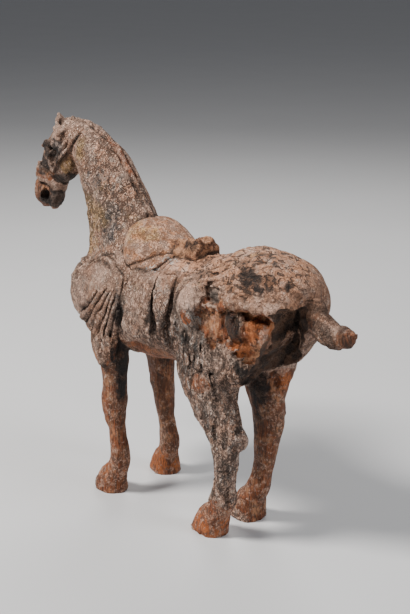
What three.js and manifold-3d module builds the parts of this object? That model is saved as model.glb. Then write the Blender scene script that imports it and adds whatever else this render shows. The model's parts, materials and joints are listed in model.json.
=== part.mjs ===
// Standing horse carved from wood in the manner of a tomb figure, with a saddle, a saddle blanket
// and a pleated breast cloth. Millimetres, +Z up, the horse faces -Y and its left side is +X.
// The origin is on the ground, under the middle of the figure's outline.
import * as THREE from "three";
import { mergeVertices } from "three/addons/utils/BufferGeometryUtils.js";
import Module from "manifold-3d";

const wasm = await Module();
wasm.setup();

// The driving sizes: height to the tip of the left ear, length from the muzzle to the tip of the
// tail, and width across the breast cloth. The tables below draw the carving with its origin
// between the hooves, and the drawing is then brought to these sizes.
const figureHeight = 586;
const figureLength = 677;
const figureWidth = 171.4;

// Rows of a limb's table: y and z of the middle line, then how far the section reaches to the
// back (or front of a leg), to the belly (or back of a leg) and to each side, and the middle's x.
const trunk = [
  [254, 387, 6, 6, 8, 0],
  [249, 387, 24, 28, 34, 0],
  [234, 382, 46, 49, 54, 0],
  [210, 373, 69, 70, 66, 0],
  [175, 357, 87, 87, 73, 0],
  [132, 343, 88, 88, 75, 0],
  [80, 335, 79, 86, 75, 0],
  [25, 330, 78, 88, 76, 0],
  [-30, 326, 87, 92, 77, 0],
  [-80, 323, 90, 92, 76, 0],
  [-125, 320, 90, 87, 74, 0],
  [-165, 320, 75, 77, 66, 0],
  [-193, 322, 57, 60, 55, 0],
  [-212, 325, 35, 42, 40, 0],
  [-222, 326, 10, 10, 14, 0],
];

const neck = [
  [-98, 330, 88, 84, 60, 0],
  [-110, 368, 84, 83, 56, 0],
  [-124, 396, 79, 78, 48, 0],
  [-137, 427, 70, 68, 42, 0],
  [-151, 457, 63, 59, 37, 0],
  [-163, 483, 57, 54, 34, 0],
  [-178, 511, 48, 51, 31, 0],
  [-200, 537, 35, 46, 29, 0],
  [-224, 553, 25, 39, 26, 0],
  [-244, 562, 14, 27, 22, 0],
];

const head = [
  [-236, 570, 5, 8, 12, 0],
  [-246, 561, 16, 22, 22, 0],
  [-262, 543, 25, 38, 27, 0],
  [-279, 524, 31, 48, 27, 0],
  [-295, 505, 31, 52, 24, 0],
  [-308, 486, 27, 47, 19, 0],
  [-316, 467, 25, 36, 17, 0],
  [-322, 451, 26, 26, 18, 0],
  [-323, 436, 23, 18, 16, 0],
  [-324, 426, 10, 9, 8, 0],
];

const lowerJaw = [
  [-262, 486, 8, 12, 10, 0],
  [-277, 470, 14, 17, 15, 0],
  [-288, 456, 14, 14, 15, 0],
  [-297, 444, 12, 12, 14, 0],
  [-302, 433, 11, 10, 13, 0],
  [-304, 425, 6, 5, 7, 0],
];

const leftForeleg = [
  [-120, 300, 52, 46, 24, 44],
  [-110, 250, 36, 34, 26, 47],
  [-105, 212, 25, 26, 22, 49],
  [-105, 182, 22, 21, 20, 50],
  [-106, 154, 22, 21, 20, 50],
  [-103, 128, 20, 19, 19, 50],
  [-99, 99, 17, 16, 16, 50],
  [-97, 64, 18, 18, 17, 50],
  [-102, 42, 20, 18, 17, 50],
  [-108, 28, 26, 19, 21, 49],
  [-114, 2, 37, 24, 25, 48],
  [-114, -18, 40, 25, 26, 48],
];

const rightForeleg = [
  [-122, 300, 52, 46, 24, -46],
  [-113, 250, 42, 35, 26, -52],
  [-111, 212, 33, 28, 22, -55],
  [-111, 182, 28, 24, 20, -57],
  [-110, 154, 25, 22, 20, -58],
  [-106, 128, 21, 19, 19, -58],
  [-102, 99, 17, 16, 16, -58],
  [-96, 64, 18, 20, 17, -58],
  [-98, 42, 20, 19, 17, -58],
  [-101, 28, 26, 20, 21, -59],
  [-107, 2, 35, 26, 25, -60],
  [-107, -18, 38, 27, 26, -60],
];

const leftHindleg = [
  [136, 345, 92, 74, 27, 44],
  [112, 300, 89, 84, 33, 43],
  [100, 268, 72, 74, 32, 43],
  [98, 238, 55, 60, 29, 44],
  [108, 203, 38, 46, 25, 45],
  [124, 176, 29, 38, 21, 45],
  [131, 150, 23, 30, 20, 45],
  [132, 125, 18, 22, 18, 45],
  [131, 96, 14, 18, 16, 45],
  [126, 62, 18, 21, 18, 44],
  [119, 42, 22, 19, 18, 43],
  [113, 28, 30, 20, 22, 42],
  [104, 2, 40, 25, 25, 42],
  [104, -18, 43, 26, 26, 42],
];

const rightHindleg = [
  [140, 345, 90, 72, 27, -42],
  [130, 300, 86, 76, 32, -41],
  [128, 268, 66, 66, 30, -40],
  [134, 238, 48, 48, 26, -38],
  [138, 203, 34, 35, 22, -36],
  [143, 172, 28, 30, 20, -36],
  [143, 148, 25, 26, 19, -35],
  [139, 116, 19, 20, 17, -35],
  [133, 86, 18, 18, 16, -35],
  [125, 56, 20, 20, 18, -35],
  [119, 40, 22, 20, 18, -34],
  [114, 28, 29, 21, 22, -34],
  [107, 2, 37, 27, 25, -34],
  [107, -18, 40, 28, 26, -34],
];

const tail = [
  [205, 408, 16, 12, 12, 0],
  [226, 400, 18, 16, 14, 0],
  [243, 384, 17, 18, 16, 0],
  [255, 364, 17, 20, 17, 0],
  [270, 348, 17, 19, 17, 0],
  [290, 341, 16, 16, 16, 0],
  [310, 343, 13, 13, 14, 0],
  [323, 348, 8, 8, 9, 0],
  [328, 351, 3, 3, 4, 0],
];

// Drapes on the left flank: angle round the trunk in degrees from the back, front and rear edge
// (y), and how far the cloth stands off the body.
const blanket = [
  [46, -34, 18, 4],
  [60, -46, 17, 7],
  [76, -52, 17, 8],
  [92, -55, 15, 8],
  [106, -56, 9, 8],
  [115, -38, 1, 6],
];

const rearFold = [
  [46, 20, 51, 4],
  [60, 18, 51, 7],
  [76, 18, 51, 10],
  [90, 19, 45, 10],
  [104, 24, 39, 8],
  [128, 27, 37, 4],
];

// Saddle: y, height of its crown above the body, height of its rim, angle of its edge in degrees.
const saddle = [
  [-92, 22, 4, 22],
  [-82, 29, 5, 33],
  [-68, 34, 6, 44],
  [-54, 34, 6, 50],
  [-38, 29, 6, 48],
  [-20, 22, 6, 39],
  [-4, 16, 5, 27],
  [12, 10, 4, 18],
];

const saddleSkirt = [
  [-52, 4, 3, 44],
  [-44, 4, 4, 51],
  [-16, 4, 5, 55],
  [0, 4, 5, 47],
  [9, 4, 4, 34],
  [16, 4, 3, 22],
];

// Ruffled rear edge of the saddle: its places along the back and its rise across the back.
const cantleRows = [8, 35, 58];
const cantleRise = [6, 18, 23, 19, 24, 20, 8];
const cantleWidth = 54;
const cantleDepth = 12;

// Breast cloth on the left: where its folds start at the collar, a point half way and the hem.
const breastCloth = [
  [[67, -60, 374], [80, -58, 318], [68, -116, 204]],
  [[66, -64, 378], [79, -78, 312], [66, -129, 205]],
  [[64, -76, 384], [75, -102, 322], [63, -141, 234]],
  [[60, -92, 391], [71, -124, 330], [62, -156, 262]],
  [[54, -114, 387], [65, -147, 335], [58, -177, 279]],
  [[49, -147, 360], [48, -182, 338], [40, -206, 284]],
  [[-4, -198, 354], [-4, -221, 335], [-4, -226, 290]],
];
const pleats = 10;

// Bridle strap down the left cheek, as rows along the head and degrees round it.
const cheekStrap = [
  [0.7, 146],
  [1.4, 139],
  [2.1, 131],
  [3.0, 124],
  [3.9, 119],
  [4.7, 114],
];
const nosebandRows = [4.85, 5.35, 5.9];
const cheekStrapWidth = 8;
const browWidth = 6;
const maneWidth = 22;

// Eyebrow from its rear end over the eye to its front end, as rows along the head and degrees
// round it.
const browRidge = [
  [2.4, 76],
  [2.4, 56],
  [2.75, 45],
  [3.25, 47],
];
const eyeMiddle = [21, -291, 533];
const eyeReach = [8, 10, 7];

// Ears: the foot of the whole left one and of the broken right one, and how tall each stands.
const leftEarFoot = [16, -263, 567];
const leftEarRise = 19;
const rightEarFoot = [-17, -258, 567];
const rightEarRise = 9;
const earHalfWidth = 8;

const radians = Math.PI / 180;

// A smooth value between the rows of a table.
function between(rows, column, t) {
  const last = rows.length - 1;
  const i = Math.max(0, Math.min(Math.floor(t), last - 1));
  const f = t - i;
  const [a, b, c, d] = [i - 1, i, i + 1, i + 2].map((n) => rows[Math.max(0, Math.min(last, n))][column]);
  return b + 0.5 * f * (c - a + f * (2 * a - 5 * b + 4 * c - d + f * (3 * (b - c) + d - a)));
}

// Middle, outward direction and reach of a limb's section at t rows along its table.
function section(rows, t) {
  const [y, z, over, under, side, x] = [0, 1, 2, 3, 4, 5].map((column) => between(rows, column, t));
  const step = 0.05;
  const t0 = Math.max(0, t - step);
  const t1 = Math.min(rows.length - 1, t + step);
  const alongY = between(rows, 0, t1) - between(rows, 0, t0);
  const alongZ = between(rows, 1, t1) - between(rows, 1, t0);
  const length = Math.hypot(alongY, alongZ);
  return { y, z, over, under, side, x, outY: alongZ / length, outZ: -alongY / length };
}

// A point on a limb's skin: angle 0 is the back (or the front of a leg), a quarter turn is the left.
function skinPoint(rows, t, angle, fullness) {
  const s = section(rows, t);
  const c = Math.cos(angle);
  const n = Math.sin(angle);
  const out = Math.sign(c) * Math.abs(c) ** (2 / fullness) * (c > 0 ? s.over : s.under);
  const across = Math.sign(n) * Math.abs(n) ** (2 / fullness) * s.side;
  return new THREE.Vector3(s.x + across, s.y + out * s.outY, s.z + out * s.outZ);
}

// The same point moved off the skin by lift, square to it.
function liftedPoint(rows, t, angle, fullness, lift) {
  const point = skinPoint(rows, t, angle, fullness);
  const step = 0.02;
  const around = skinPoint(rows, t, angle + step, fullness).sub(skinPoint(rows, t, angle - step, fullness));
  const along = skinPoint(rows, t + step, angle, fullness).sub(skinPoint(rows, t - step, angle, fullness));
  const normal = around.cross(along).normalize();
  const s = section(rows, t);
  const outward = point.clone().sub(new THREE.Vector3(s.x, s.y, s.z));
  return point.addScaledVector(normal, normal.dot(outward) < 0 ? -lift : lift);
}

function asSolid(positions, indices) {
  const geometry = new THREE.BufferGeometry();
  geometry.setAttribute("position", new THREE.Float32BufferAttribute(positions, 3));
  geometry.setIndex(indices);
  const merged = mergeVertices(geometry, 1e-4);
  const build = (order) => new wasm.Manifold(new wasm.Mesh({
    numProp: 3,
    vertProperties: new Float32Array(merged.attributes.position.array),
    triVerts: new Uint32Array(order),
  }));
  const order = Array.from(merged.index.array);
  const solid = build(order);
  return solid.volume() > 0 ? solid : build(order.reverse());
}

// A closed solid through rings of points, with a flat cap at each end.
function ringSolid(rings) {
  const sides = rings[0].length;
  const positions = rings.flat().flatMap((p) => [p.x, p.y, p.z]);
  const indices = [];
  for (let r = 0; r + 1 < rings.length; r++) {
    for (let i = 0; i < sides; i++) {
      const a = r * sides + i;
      const b = r * sides + ((i + 1) % sides);
      indices.push(a, b + sides, b, a, a + sides, b + sides);
    }
  }
  for (const [r, flip] of [[0, true], [rings.length - 1, false]]) {
    const centre = new THREE.Vector3();
    rings[r].forEach((p) => centre.addScaledVector(p, 1 / sides));
    const middle = positions.length / 3;
    positions.push(centre.x, centre.y, centre.z);
    for (let i = 0; i < sides; i++) {
      const a = r * sides + i;
      const b = r * sides + ((i + 1) % sides);
      indices.push(...(flip ? [a, b, middle] : [b, a, middle]));
    }
  }
  return asSolid(positions, indices);
}

// A closed solid between two grids of points, one over the other.
function shell(outer, inner) {
  const rows = outer.length;
  const columns = outer[0].length;
  const positions = [...outer.flat(), ...inner.flat()].flatMap((p) => [p.x, p.y, p.z]);
  const indices = [];
  const at = (layer, i, j) => layer * rows * columns + i * columns + j;
  const quad = (a, b, c, d) => indices.push(a, b, c, a, c, d);
  for (let i = 0; i + 1 < rows; i++) {
    for (let j = 0; j + 1 < columns; j++) {
      quad(at(0, i, j), at(0, i, j + 1), at(0, i + 1, j + 1), at(0, i + 1, j));
      quad(at(1, i, j), at(1, i + 1, j), at(1, i + 1, j + 1), at(1, i, j + 1));
    }
  }
  const rim = [];
  for (let j = 0; j < columns - 1; j++) rim.push([0, j]);
  for (let i = 0; i < rows - 1; i++) rim.push([i, columns - 1]);
  for (let j = columns - 1; j > 0; j--) rim.push([rows - 1, j]);
  for (let i = rows - 1; i > 0; i--) rim.push([i, 0]);
  rim.forEach(([i, j], n) => {
    const [k, l] = rim[(n + 1) % rim.length];
    quad(at(0, k, l), at(0, i, j), at(1, i, j), at(1, k, l));
  });
  return asSolid(positions, indices);
}

function grid(rows, columns, point) {
  const list = [];
  for (let i = 0; i <= rows; i++) {
    list.push([]);
    for (let j = 0; j <= columns; j++) list[i].push(point(i / rows, j / columns));
  }
  return list;
}

function limb(rows, sides, stepsPerRow, fullness = 2) {
  const steps = (rows.length - 1) * stepsPerRow;
  const rings = [];
  for (let i = 0; i <= steps; i++) {
    const ring = [];
    for (let n = 0; n < sides; n++) {
      ring.push(skinPoint(rows, i / stepsPerRow, (2 * Math.PI * n) / sides, fullness));
    }
    rings.push(ring);
  }
  return ringSolid(rings);
}

// A band round a limb, standing off its skin.
function sleeve(rows, places, sides, fullness, lifts) {
  const rings = places.map((t, k) => {
    const ring = [];
    for (let n = 0; n < sides; n++) {
      ring.push(liftedPoint(rows, t, (2 * Math.PI * (n + 0.5)) / sides, fullness, lifts[k]));
    }
    return ring;
  });
  return ringSolid(rings);
}

// A flat strap laid along a path of [row, degrees] on a limb, with the profile of its lifts across.
function strap(rows, fullness, path, width, lifts, depth, steps) {
  const place = (u) => {
    const t = u * (path.length - 1);
    return [between(path, 0, t), between(path, 1, t) * radians];
  };
  const onPath = (u, lift) => liftedPoint(rows, ...place(u), fullness, lift);
  const point = (u, v, lift) => {
    const ahead = onPath(Math.min(1, u + 0.02), 0).sub(onPath(Math.max(0, u - 0.02), 0));
    const normal = onPath(u, 1).sub(onPath(u, 0));
    const across = ahead.cross(normal).normalize();
    return onPath(u, lift).addScaledVector(across, (v - 0.5) * width);
  };
  const columns = lifts.length - 1;
  const outer = grid(steps, columns, (u, v) => point(u, v, lifts[Math.round(v * columns)]));
  const inner = grid(steps, columns, (u, v) => point(u, v, -depth));
  return shell(outer, inner);
}

function mirrored(solid) {
  const mesh = solid.getMesh();
  const flipped = Array.from(mesh.vertProperties, (value, n) => (n % 3 === 0 ? -value : value));
  return asSolid(flipped, Array.from(mesh.triVerts));
}

// Round lump or hollow: middle, reach in x, y and z, and a turn about z in degrees.
function ball(middle, reach, turn = 0, sides = 12) {
  const geometry = new THREE.SphereGeometry(1, sides, Math.round(sides * 0.6));
  geometry.deleteAttribute("normal");
  geometry.deleteAttribute("uv");
  geometry.scale(...reach);
  geometry.rotateZ(turn * radians);
  geometry.translate(...middle);
  const merged = mergeVertices(geometry, 1e-4);
  return asSolid(Array.from(merged.attributes.position.array), Array.from(merged.index.array));
}

function block(middle, size, turn = 0) {
  const geometry = new THREE.BoxGeometry(...size);
  geometry.deleteAttribute("normal");
  geometry.deleteAttribute("uv");
  geometry.rotateZ(turn * radians);
  geometry.translate(...middle);
  const merged = mergeVertices(geometry, 1e-4);
  return asSolid(Array.from(merged.attributes.position.array), Array.from(merged.index.array));
}

// The row along the trunk's table for a distance y.
function trunkRow(y) {
  let near = 0;
  let far = trunk.length - 1;
  for (let n = 0; n < 30; n++) {
    const middle = (near + far) / 2;
    if (between(trunk, 0, middle) > y) near = middle;
    else far = middle;
  }
  return near;
}

const bodyFullness = 2.2;
const onBody = (y, degrees, lift) => liftedPoint(trunk, trunkRow(y), degrees * radians, bodyFullness, lift);

// A cloth on the flank, from its table of edges. Its middle stands out and its edges thin down.
function drape(table, columns, rows) {
  const last = table.length - 1;
  const place = (u, v, lift) => {
    const [degrees, front, rear] = [0, 1, 2].map((column) => between(table, column, u * last));
    return onBody(front + (rear - front) * v, degrees, lift);
  };
  const outer = grid(rows, columns, (u, v) => {
    const stand = between(table, 3, u * last);
    return place(u, v, stand * (0.72 + 0.28 * Math.sin(Math.PI * v)));
  });
  return shell(outer, grid(rows, columns, (u, v) => place(u, v, -12)));
}

// Saddle or skirt over the back: a crown in the middle falling to a rim at each edge.
function backCover(table, rows, columns) {
  const last = table.length - 1;
  const place = (u, v, inside) => {
    const [y, crown, rim, edge] = [0, 1, 2, 3].map((column) => between(table, column, u * last));
    const w = 2 * v - 1;
    const lift = inside ? -14 : rim + (crown - rim) * (1 - Math.abs(w) ** 2.4);
    return onBody(y, w * edge, lift);
  };
  const outer = grid(rows, columns, (u, v) => place(u, v, false));
  return shell(outer, grid(rows, columns, (u, v) => place(u, v, true)));
}

// How far the trunk or the left foreleg reaches from a point inside the chest, along a direction.
const chestMiddle = new THREE.Vector3(0, -120, 318);

function insideBody(p) {
  const s = section(trunk, trunkRow(p.y));
  const rise = p.z - s.z;
  const up = Math.abs(rise) / (rise > 0 ? s.over : s.under);
  const inTrunk = p.y > -222 && up ** bodyFullness + (Math.abs(p.x) / s.side) ** bodyFullness < 1;
  const leg = (300 - p.z) / 50;
  const inLeg = leg > 0 && leg < 3 && (() => {
    const r = section(leftForeleg, leg);
    const ahead = p.y - r.y;
    return (ahead / (ahead < 0 ? r.over : r.under)) ** 2 + ((p.x - r.x) / r.side) ** 2 < 1;
  })();
  return inTrunk || inLeg;
}

function bodyReach(direction) {
  let reach = 0;
  for (let r = 20; r < 190; r += 1) {
    if (insideBody(chestMiddle.clone().addScaledVector(direction, r))) reach = r;
  }
  return reach;
}

// Breast cloth: folds fan out from the collar to the hem, sharper towards the hem.
function clothHalf() {
  const last = breastCloth.length - 1;
  const corner = (k, axis, t) => between(breastCloth.map((row) => row[k]), axis, t);
  const columns = pleats * 2;
  const rows = 7;
  const place = (u, v, inside) => {
    const a = 0.04 + 0.96 * u;
    const t = v * last;
    const p = new THREE.Vector3();
    [(1 - a) * (1 - a), 2 * a * (1 - a), a * a].forEach((weight, k) => {
      p.add(new THREE.Vector3(corner(k, 0, t), corner(k, 1, t), corner(k, 2, t)).multiplyScalar(weight));
    });
    const out = p.clone().sub(chestMiddle);
    const guide = out.length();
    out.normalize();
    const skin = Math.max(bodyReach(out), guide - 4);
    const fold = Math.round(v * columns) % 2 === 1 ? 1 : 0;
    const sharp = Math.min(1, u * 1.6) * (v > 0.62 ? 0.6 : 1);
    const lift = 4 + 5 * fold * sharp;
    return chestMiddle.clone().addScaledVector(out, skin + (inside ? -16 : lift));
  };
  const outer = grid(rows, columns, (u, v) => place(u, v, false));
  return shell(outer, grid(rows, columns, (u, v) => place(u, v, true)));
}

const cantlePath = cantleRows.map((y) => [trunkRow(y), 0]);
const cloth = clothHalf();
const blanketSide = drape(blanket, 5, 8);
const rearFoldSide = drape(rearFold, 4, 8);
const leftStrap = strap(head, 2.2, cheekStrap, cheekStrapWidth, [1.5, 4.5, 4.5, 1.5], 6, 6);
const eye = ball(eyeMiddle, eyeReach, 20);
const brow = strap(head, 2.2, browRidge, browWidth, [1, 4, 4, 1], 5, 5);

const bodySolids = [
  limb(trunk, 28, 1, bodyFullness),
  limb(neck, 18, 1),
  limb(leftForeleg, 14, 1),
  limb(rightForeleg, 14, 1),
  limb(leftHindleg, 16, 1, 2.2),
  limb(rightHindleg, 16, 1, 2.2),
  blanketSide,
  mirrored(blanketSide),
  rearFoldSide,
  mirrored(rearFoldSide),
  cloth,
  mirrored(cloth),
  ball([60, 88, 352], [25, 30, 34]),
];

const hollows = [
  block([68, 126, 379], [36, 23, 16], -6),
  ball([102, 157, 340], [41, 50, 40], 0, 16),
  ball([90, 203, 342], [37, 46, 40], -22, 16),
  ball([64, 222, 348], [26, 26, 17]),
  ball([64, 176, 344], [15, 11, 17]),
  ball([22, 242, 322], [22, 40, 46]),
  ball([60, 147, 72], [5, 7, 46]),
  ball([-20, 171, 236], [6, 6, 10]),
];

const toppings = [
  limb(head, 18, 1, 2.2),
  limb(tail, 12, 1),
  backCover(saddleSkirt, 7, 12),
  backCover(saddle, 9, 12),
  strap(trunk, bodyFullness, cantlePath, cantleWidth, cantleRise, cantleDepth, 5),
  strap(neck, 2, [[2.6, 0], [5, 0], [7, 0], [9, 0]], maneWidth, [0.5, 4, 5, 4, 0.5], 8, 10),
  sleeve(head, nosebandRows, 18, 2.2, [1.5, 5, 2.5]),
  leftStrap,
  mirrored(leftStrap),
  brow,
  mirrored(brow),
  eye,
  mirrored(eye),
  limb(lowerJaw, 12, 1, 2.2),
  ball([0, -252, 571], [13, 15, 7]),
];

// An ear that narrows from its foot to its tip and leans out and forward a little.
function ear([x, y, z], rise, lean) {
  const shape = [[-0.6, 0.5], [0, 1], [0.45, 0.85], [0.85, 0.36], [1, 0.1]];
  const rings = shape.map(([share, wide]) => {
    const up = share * rise;
    const ring = [];
    for (let n = 0; n < 8; n++) {
      const a = (2 * Math.PI * n) / 8;
      const across = earHalfWidth * wide * Math.cos(a);
      const deep = earHalfWidth * 0.7 * wide * Math.sin(a);
      ring.push(new THREE.Vector3(x + across + up * lean, y + deep - up * 0.15, z + up));
    }
    return ring;
  });
  return ringSolid(rings);
}
toppings.push(ear(leftEarFoot, leftEarRise, 0.1), ear(rightEarFoot, rightEarRise, -0.1));

const nostrils = [ball([15, -330, 449], [5, 6, 6]), ball([-15, -330, 449], [5, 6, 6])];

let horse = bodySolids.reduce((a, b) => a.add(b));
for (const hollow of hollows) horse = horse.subtract(hollow);
horse = toppings.reduce((a, b) => a.add(b), horse);
for (const nostril of nostrils) horse = horse.subtract(nostril);

// The soles are one flat plane.
horse = horse.subtract(block([0, 0, -figureHeight / 2], [figureWidth * 2, figureLength * 2, figureHeight]));

function figureGeometry(solid) {
  const mesh = solid.getMesh();
  const geometry = new THREE.BufferGeometry();
  geometry.setAttribute("position", new THREE.BufferAttribute(new Float32Array(mesh.vertProperties), 3));
  geometry.setIndex(new THREE.BufferAttribute(new Uint32Array(mesh.triVerts), 1));
  geometry.computeBoundingBox();
  const drawn = geometry.boundingBox.getSize(new THREE.Vector3());
  geometry.scale(figureWidth / drawn.x, figureLength / drawn.y, figureHeight / drawn.z);
  geometry.computeBoundingBox();
  const middle = geometry.boundingBox.getCenter(new THREE.Vector3());
  geometry.translate(-middle.x, -middle.y, -geometry.boundingBox.min.z);
  return geometry;
}

const wood = new THREE.MeshStandardMaterial({ color: 0xa88a76, roughness: 0.85, metalness: 0 });
const figure = new THREE.Mesh(figureGeometry(horse), wood);
figure.name = "horse";
const group = new THREE.Group();
group.add(figure);

export default group;
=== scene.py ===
import json
import math
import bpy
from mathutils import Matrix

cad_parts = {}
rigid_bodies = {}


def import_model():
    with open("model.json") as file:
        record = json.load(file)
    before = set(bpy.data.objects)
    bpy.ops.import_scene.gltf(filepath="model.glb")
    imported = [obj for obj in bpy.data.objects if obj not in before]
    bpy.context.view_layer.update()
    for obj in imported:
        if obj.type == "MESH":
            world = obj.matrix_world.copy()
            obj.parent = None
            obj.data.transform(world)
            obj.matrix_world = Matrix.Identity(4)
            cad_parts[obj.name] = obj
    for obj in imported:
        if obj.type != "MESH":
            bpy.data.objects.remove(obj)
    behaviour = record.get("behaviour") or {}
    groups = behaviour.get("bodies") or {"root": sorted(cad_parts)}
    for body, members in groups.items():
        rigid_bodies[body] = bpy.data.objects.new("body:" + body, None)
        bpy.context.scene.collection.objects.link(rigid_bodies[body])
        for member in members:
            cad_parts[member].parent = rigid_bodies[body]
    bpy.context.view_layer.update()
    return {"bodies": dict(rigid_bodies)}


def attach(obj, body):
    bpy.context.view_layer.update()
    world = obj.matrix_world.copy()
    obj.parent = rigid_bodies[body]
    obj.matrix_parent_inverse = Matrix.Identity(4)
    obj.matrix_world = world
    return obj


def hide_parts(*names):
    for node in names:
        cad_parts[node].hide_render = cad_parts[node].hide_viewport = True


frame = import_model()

from types import SimpleNamespace

import bpy
import numpy as np
from mathutils import Matrix, Vector

# The carving is drawn in millimetres with its origin between the hooves; the frame's origin is
# under the middle of the outline, a little further back.
drawingShift = np.array([0.0, 8.889, 0.0])
millimetre = 0.001

sculpt = {
    "gap": 1.55,  # grid spacing in mm
    "coarseStep": 4,                     # grid cells between the first, rough samples
    "band": 5.5,                         # how far off the skin the fine samples reach, mm
    "mostTriangles": 198000,
    "box": [[-96.0, -356.0, -2.6], [96.0, 338.0, 596.0]],  # low and high corner, mm
}
samplesAtOnce = 400000
farAway = 60.0  # distance given where a form isn't near, mm


def rowsOf(text):  # a table written as numbers, with a comma after each row
    return [[float(value) for value in row.split()] for row in text.split(",")]


def spotsOf(text):  # rows of a middle and a reach, and an amount if there is one
    return [(row[:3], row[3:6], *row[6:]) for row in rowsOf(text)]


# A limb's rows: y and z of its middle line, reach to the back (or front of a leg), to the belly,
# to each side, and x of the middle line.
limbs = {
    "trunk": {"fullness": 2.2, "rows": rowsOf("""
        254 387 6 6 8 0, 249 387 24 28 34 0, 234 382 46 49 54 0, 210 373 69 70 66 0, 175 357 87 87 73 0,
        132 343 88 88 75 0, 80 335 79 86 75 0, 25 330 78 88 76 0, -30 326 87 92 77 0, -80 323 90 92 76 0,
        -125 320 90 87 74 0, -165 320 75 77 66 0, -193 322 57 60 55 0, -212 325 35 42 40 0,
        -222 326 10 10 14 0""")},
    "neck": {"fullness": 2.0, "rows": rowsOf("""
        -98 330 88 84 60 0, -110 368 84 83 56 0, -124 396 79 78 48 0, -137 427 70 68 42 0, -151 457 63 59 37 0,
        -163 483 57 54 34 0, -178 511 48 51 31 0, -200 537 35 46 29 0, -224 553 25 39 26 0,
        -244 562 14 27 22 0""")},
    "head": {"fullness": 2.2, "rows": rowsOf("""
        -236 570 5 8 12 0, -246 561 16 22 22 0, -262 543 25 38 27 0, -279 524 28 46 25 0, -295 505 24 44 21 0,
        -308 486 20 36 17 0, -316 467 22 31 16 0, -322 451 25 26 18 0, -323 436 23 18 16 0, -324 426 10 9 8 0""")},
    "lowerJaw": {"fullness": 2.2, "rows": rowsOf("""
        -266 486 8 8 9 0, -284 470 13 11 11 0, -293 456 13 12 13 0, -297 444 12 12 14 0, -302 433 11 10 13 0,
        -304 425 6 5 7 0""")},
    "leftForeleg": {"fullness": 2.0, "rows": rowsOf("""
        -120 300 52 42 24 44, -110 250 36 28 26 47, -105 212 25 22 22 49, -105 182 22 21 20 50,
        -106 154 22 21 20 50, -103 128 20 19 19 50, -99 99 17 16 16 50, -97 64 18 18 17 50, -102 42 20 18 17 50,
        -108 28 26 19 21 49, -114 2 37 24 25 48, -114 -18 40 25 26 48""")},
    "rightForeleg": {"fullness": 2.0, "rows": rowsOf("""
        -122 300 52 46 24 -46, -113 250 42 35 26 -52, -111 212 33 28 22 -55, -111 182 28 24 20 -57,
        -110 154 25 22 20 -58, -106 128 21 19 19 -58, -102 99 17 16 16 -58, -96 64 18 20 17 -58,
        -98 42 20 19 17 -58, -101 28 26 20 21 -59, -107 2 35 26 25 -60, -107 -18 38 27 26 -60""")},
    "leftHindleg": {"fullness": 2.2, "rows": rowsOf("""
        136 345 84 74 27 44, 112 300 74 84 33 43, 100 268 65 74 32 43, 98 238 51 60 29 44, 108 203 38 46 25 45,
        124 176 29 38 21 45, 131 150 23 30 20 45, 132 125 18 22 18 45, 131 96 14 18 16 45, 126 62 18 21 18 44,
        119 42 22 19 18 43, 113 28 30 20 22 42, 104 2 40 25 25 42, 104 -18 43 26 26 42""")},
    "rightHindleg": {"fullness": 2.2, "rows": rowsOf("""
        140 345 90 72 27 -42, 130 300 86 76 32 -41, 128 268 66 66 30 -40, 134 238 48 48 26 -38,
        138 203 34 35 22 -36, 143 172 28 30 20 -36, 143 148 25 26 19 -35, 139 116 19 20 17 -35,
        133 86 18 18 16 -35, 125 56 20 20 18 -35, 119 40 22 20 18 -34, 114 28 29 21 22 -34, 107 2 37 27 25 -34,
        107 -18 40 28 26 -34""")},
    "tail": {"fullness": 2.0, "rows": rowsOf("""
        205 408 16 12 12 0, 226 400 18 16 14 0, 243 384 17 18 16 0, 255 364 17 20 17 0, 270 348 17 19 17 0,
        290 341 16 16 16 0, 310 343 13 13 14 0, 323 348 8 8 9 0, 328 351 3 3 4 0""")},
}


# ---- small tools for shapes and noise

def between(rows, t):  # a smooth value between the rows of a table
    last = len(rows) - 1
    i = np.clip(np.floor(t).astype(int), 0, last - 1)
    f = (t - i)[:, None]
    a, b, c, d = (rows[np.clip(i + n, 0, last)] for n in (-1, 0, 1, 2))
    return b + 0.5 * f * (c - a + f * (2 * a - 5 * b + 4 * c - d + f * (3 * (b - c) + d - a)))


def finer(rows, steps=12):  # the same table with many more rows
    rows = np.array(rows, float)
    return between(rows, np.linspace(0, len(rows) - 1, (len(rows) - 1) * steps + 1))


def fade(x, low, high):  # 0 at low, 1 at high, smooth between
    s = np.clip((x - low) / (high - low), 0, 1)
    return s * s * (3 - 2 * s)


def joined(a, b, k):  # union with a fillet of about k mm
    h = np.maximum(k - np.abs(a - b), 0) / k
    return np.minimum(a, b) - h * h * k * 0.25


def cutBy(a, b, k):  # what is in a and in b, with a rounded edge
    return -joined(-a, -b, k)


def offCentre(p, middle, reach):  # squared distance from the middle, 1 at the reach
    return (((p - np.float32(middle)) / np.float32(reach)) ** 2).sum(1)


def lump(p, middle, reach):  # distance to a round lump
    r = np.float32(reach)
    k0 = np.sqrt(offCentre(p, middle, r)) + 1e-6
    k1 = np.sqrt(offCentre(p, middle, r ** 2)) + 1e-6
    return k0 * (k0 - 1) / k1


def ridge(away, width):  # 1 on a line, falling off softly beside it
    return np.exp(-(away / width) ** 2)


def folded(p):  # the right side laid on the left
    p = p.copy()
    p[:, 0] = np.abs(p[:, 0])
    return p


def turned(p, middle, degrees):  # places seen from a middle, turned about the upright axis
    c, s = math.cos(math.radians(degrees)), math.sin(math.radians(degrees))
    x, y, z = (p - np.float32(middle)).T
    return np.stack([c * x + s * y, c * y - s * x, z], 1)


def read4(table, i, j, fi, fj):  # a value between four cells of a table
    return ((table[i, j] * (1 - fi) + table[i + 1, j] * fi) * (1 - fj)
            + (table[i, j + 1] * (1 - fi) + table[i + 1, j + 1] * fi) * fj)


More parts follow.
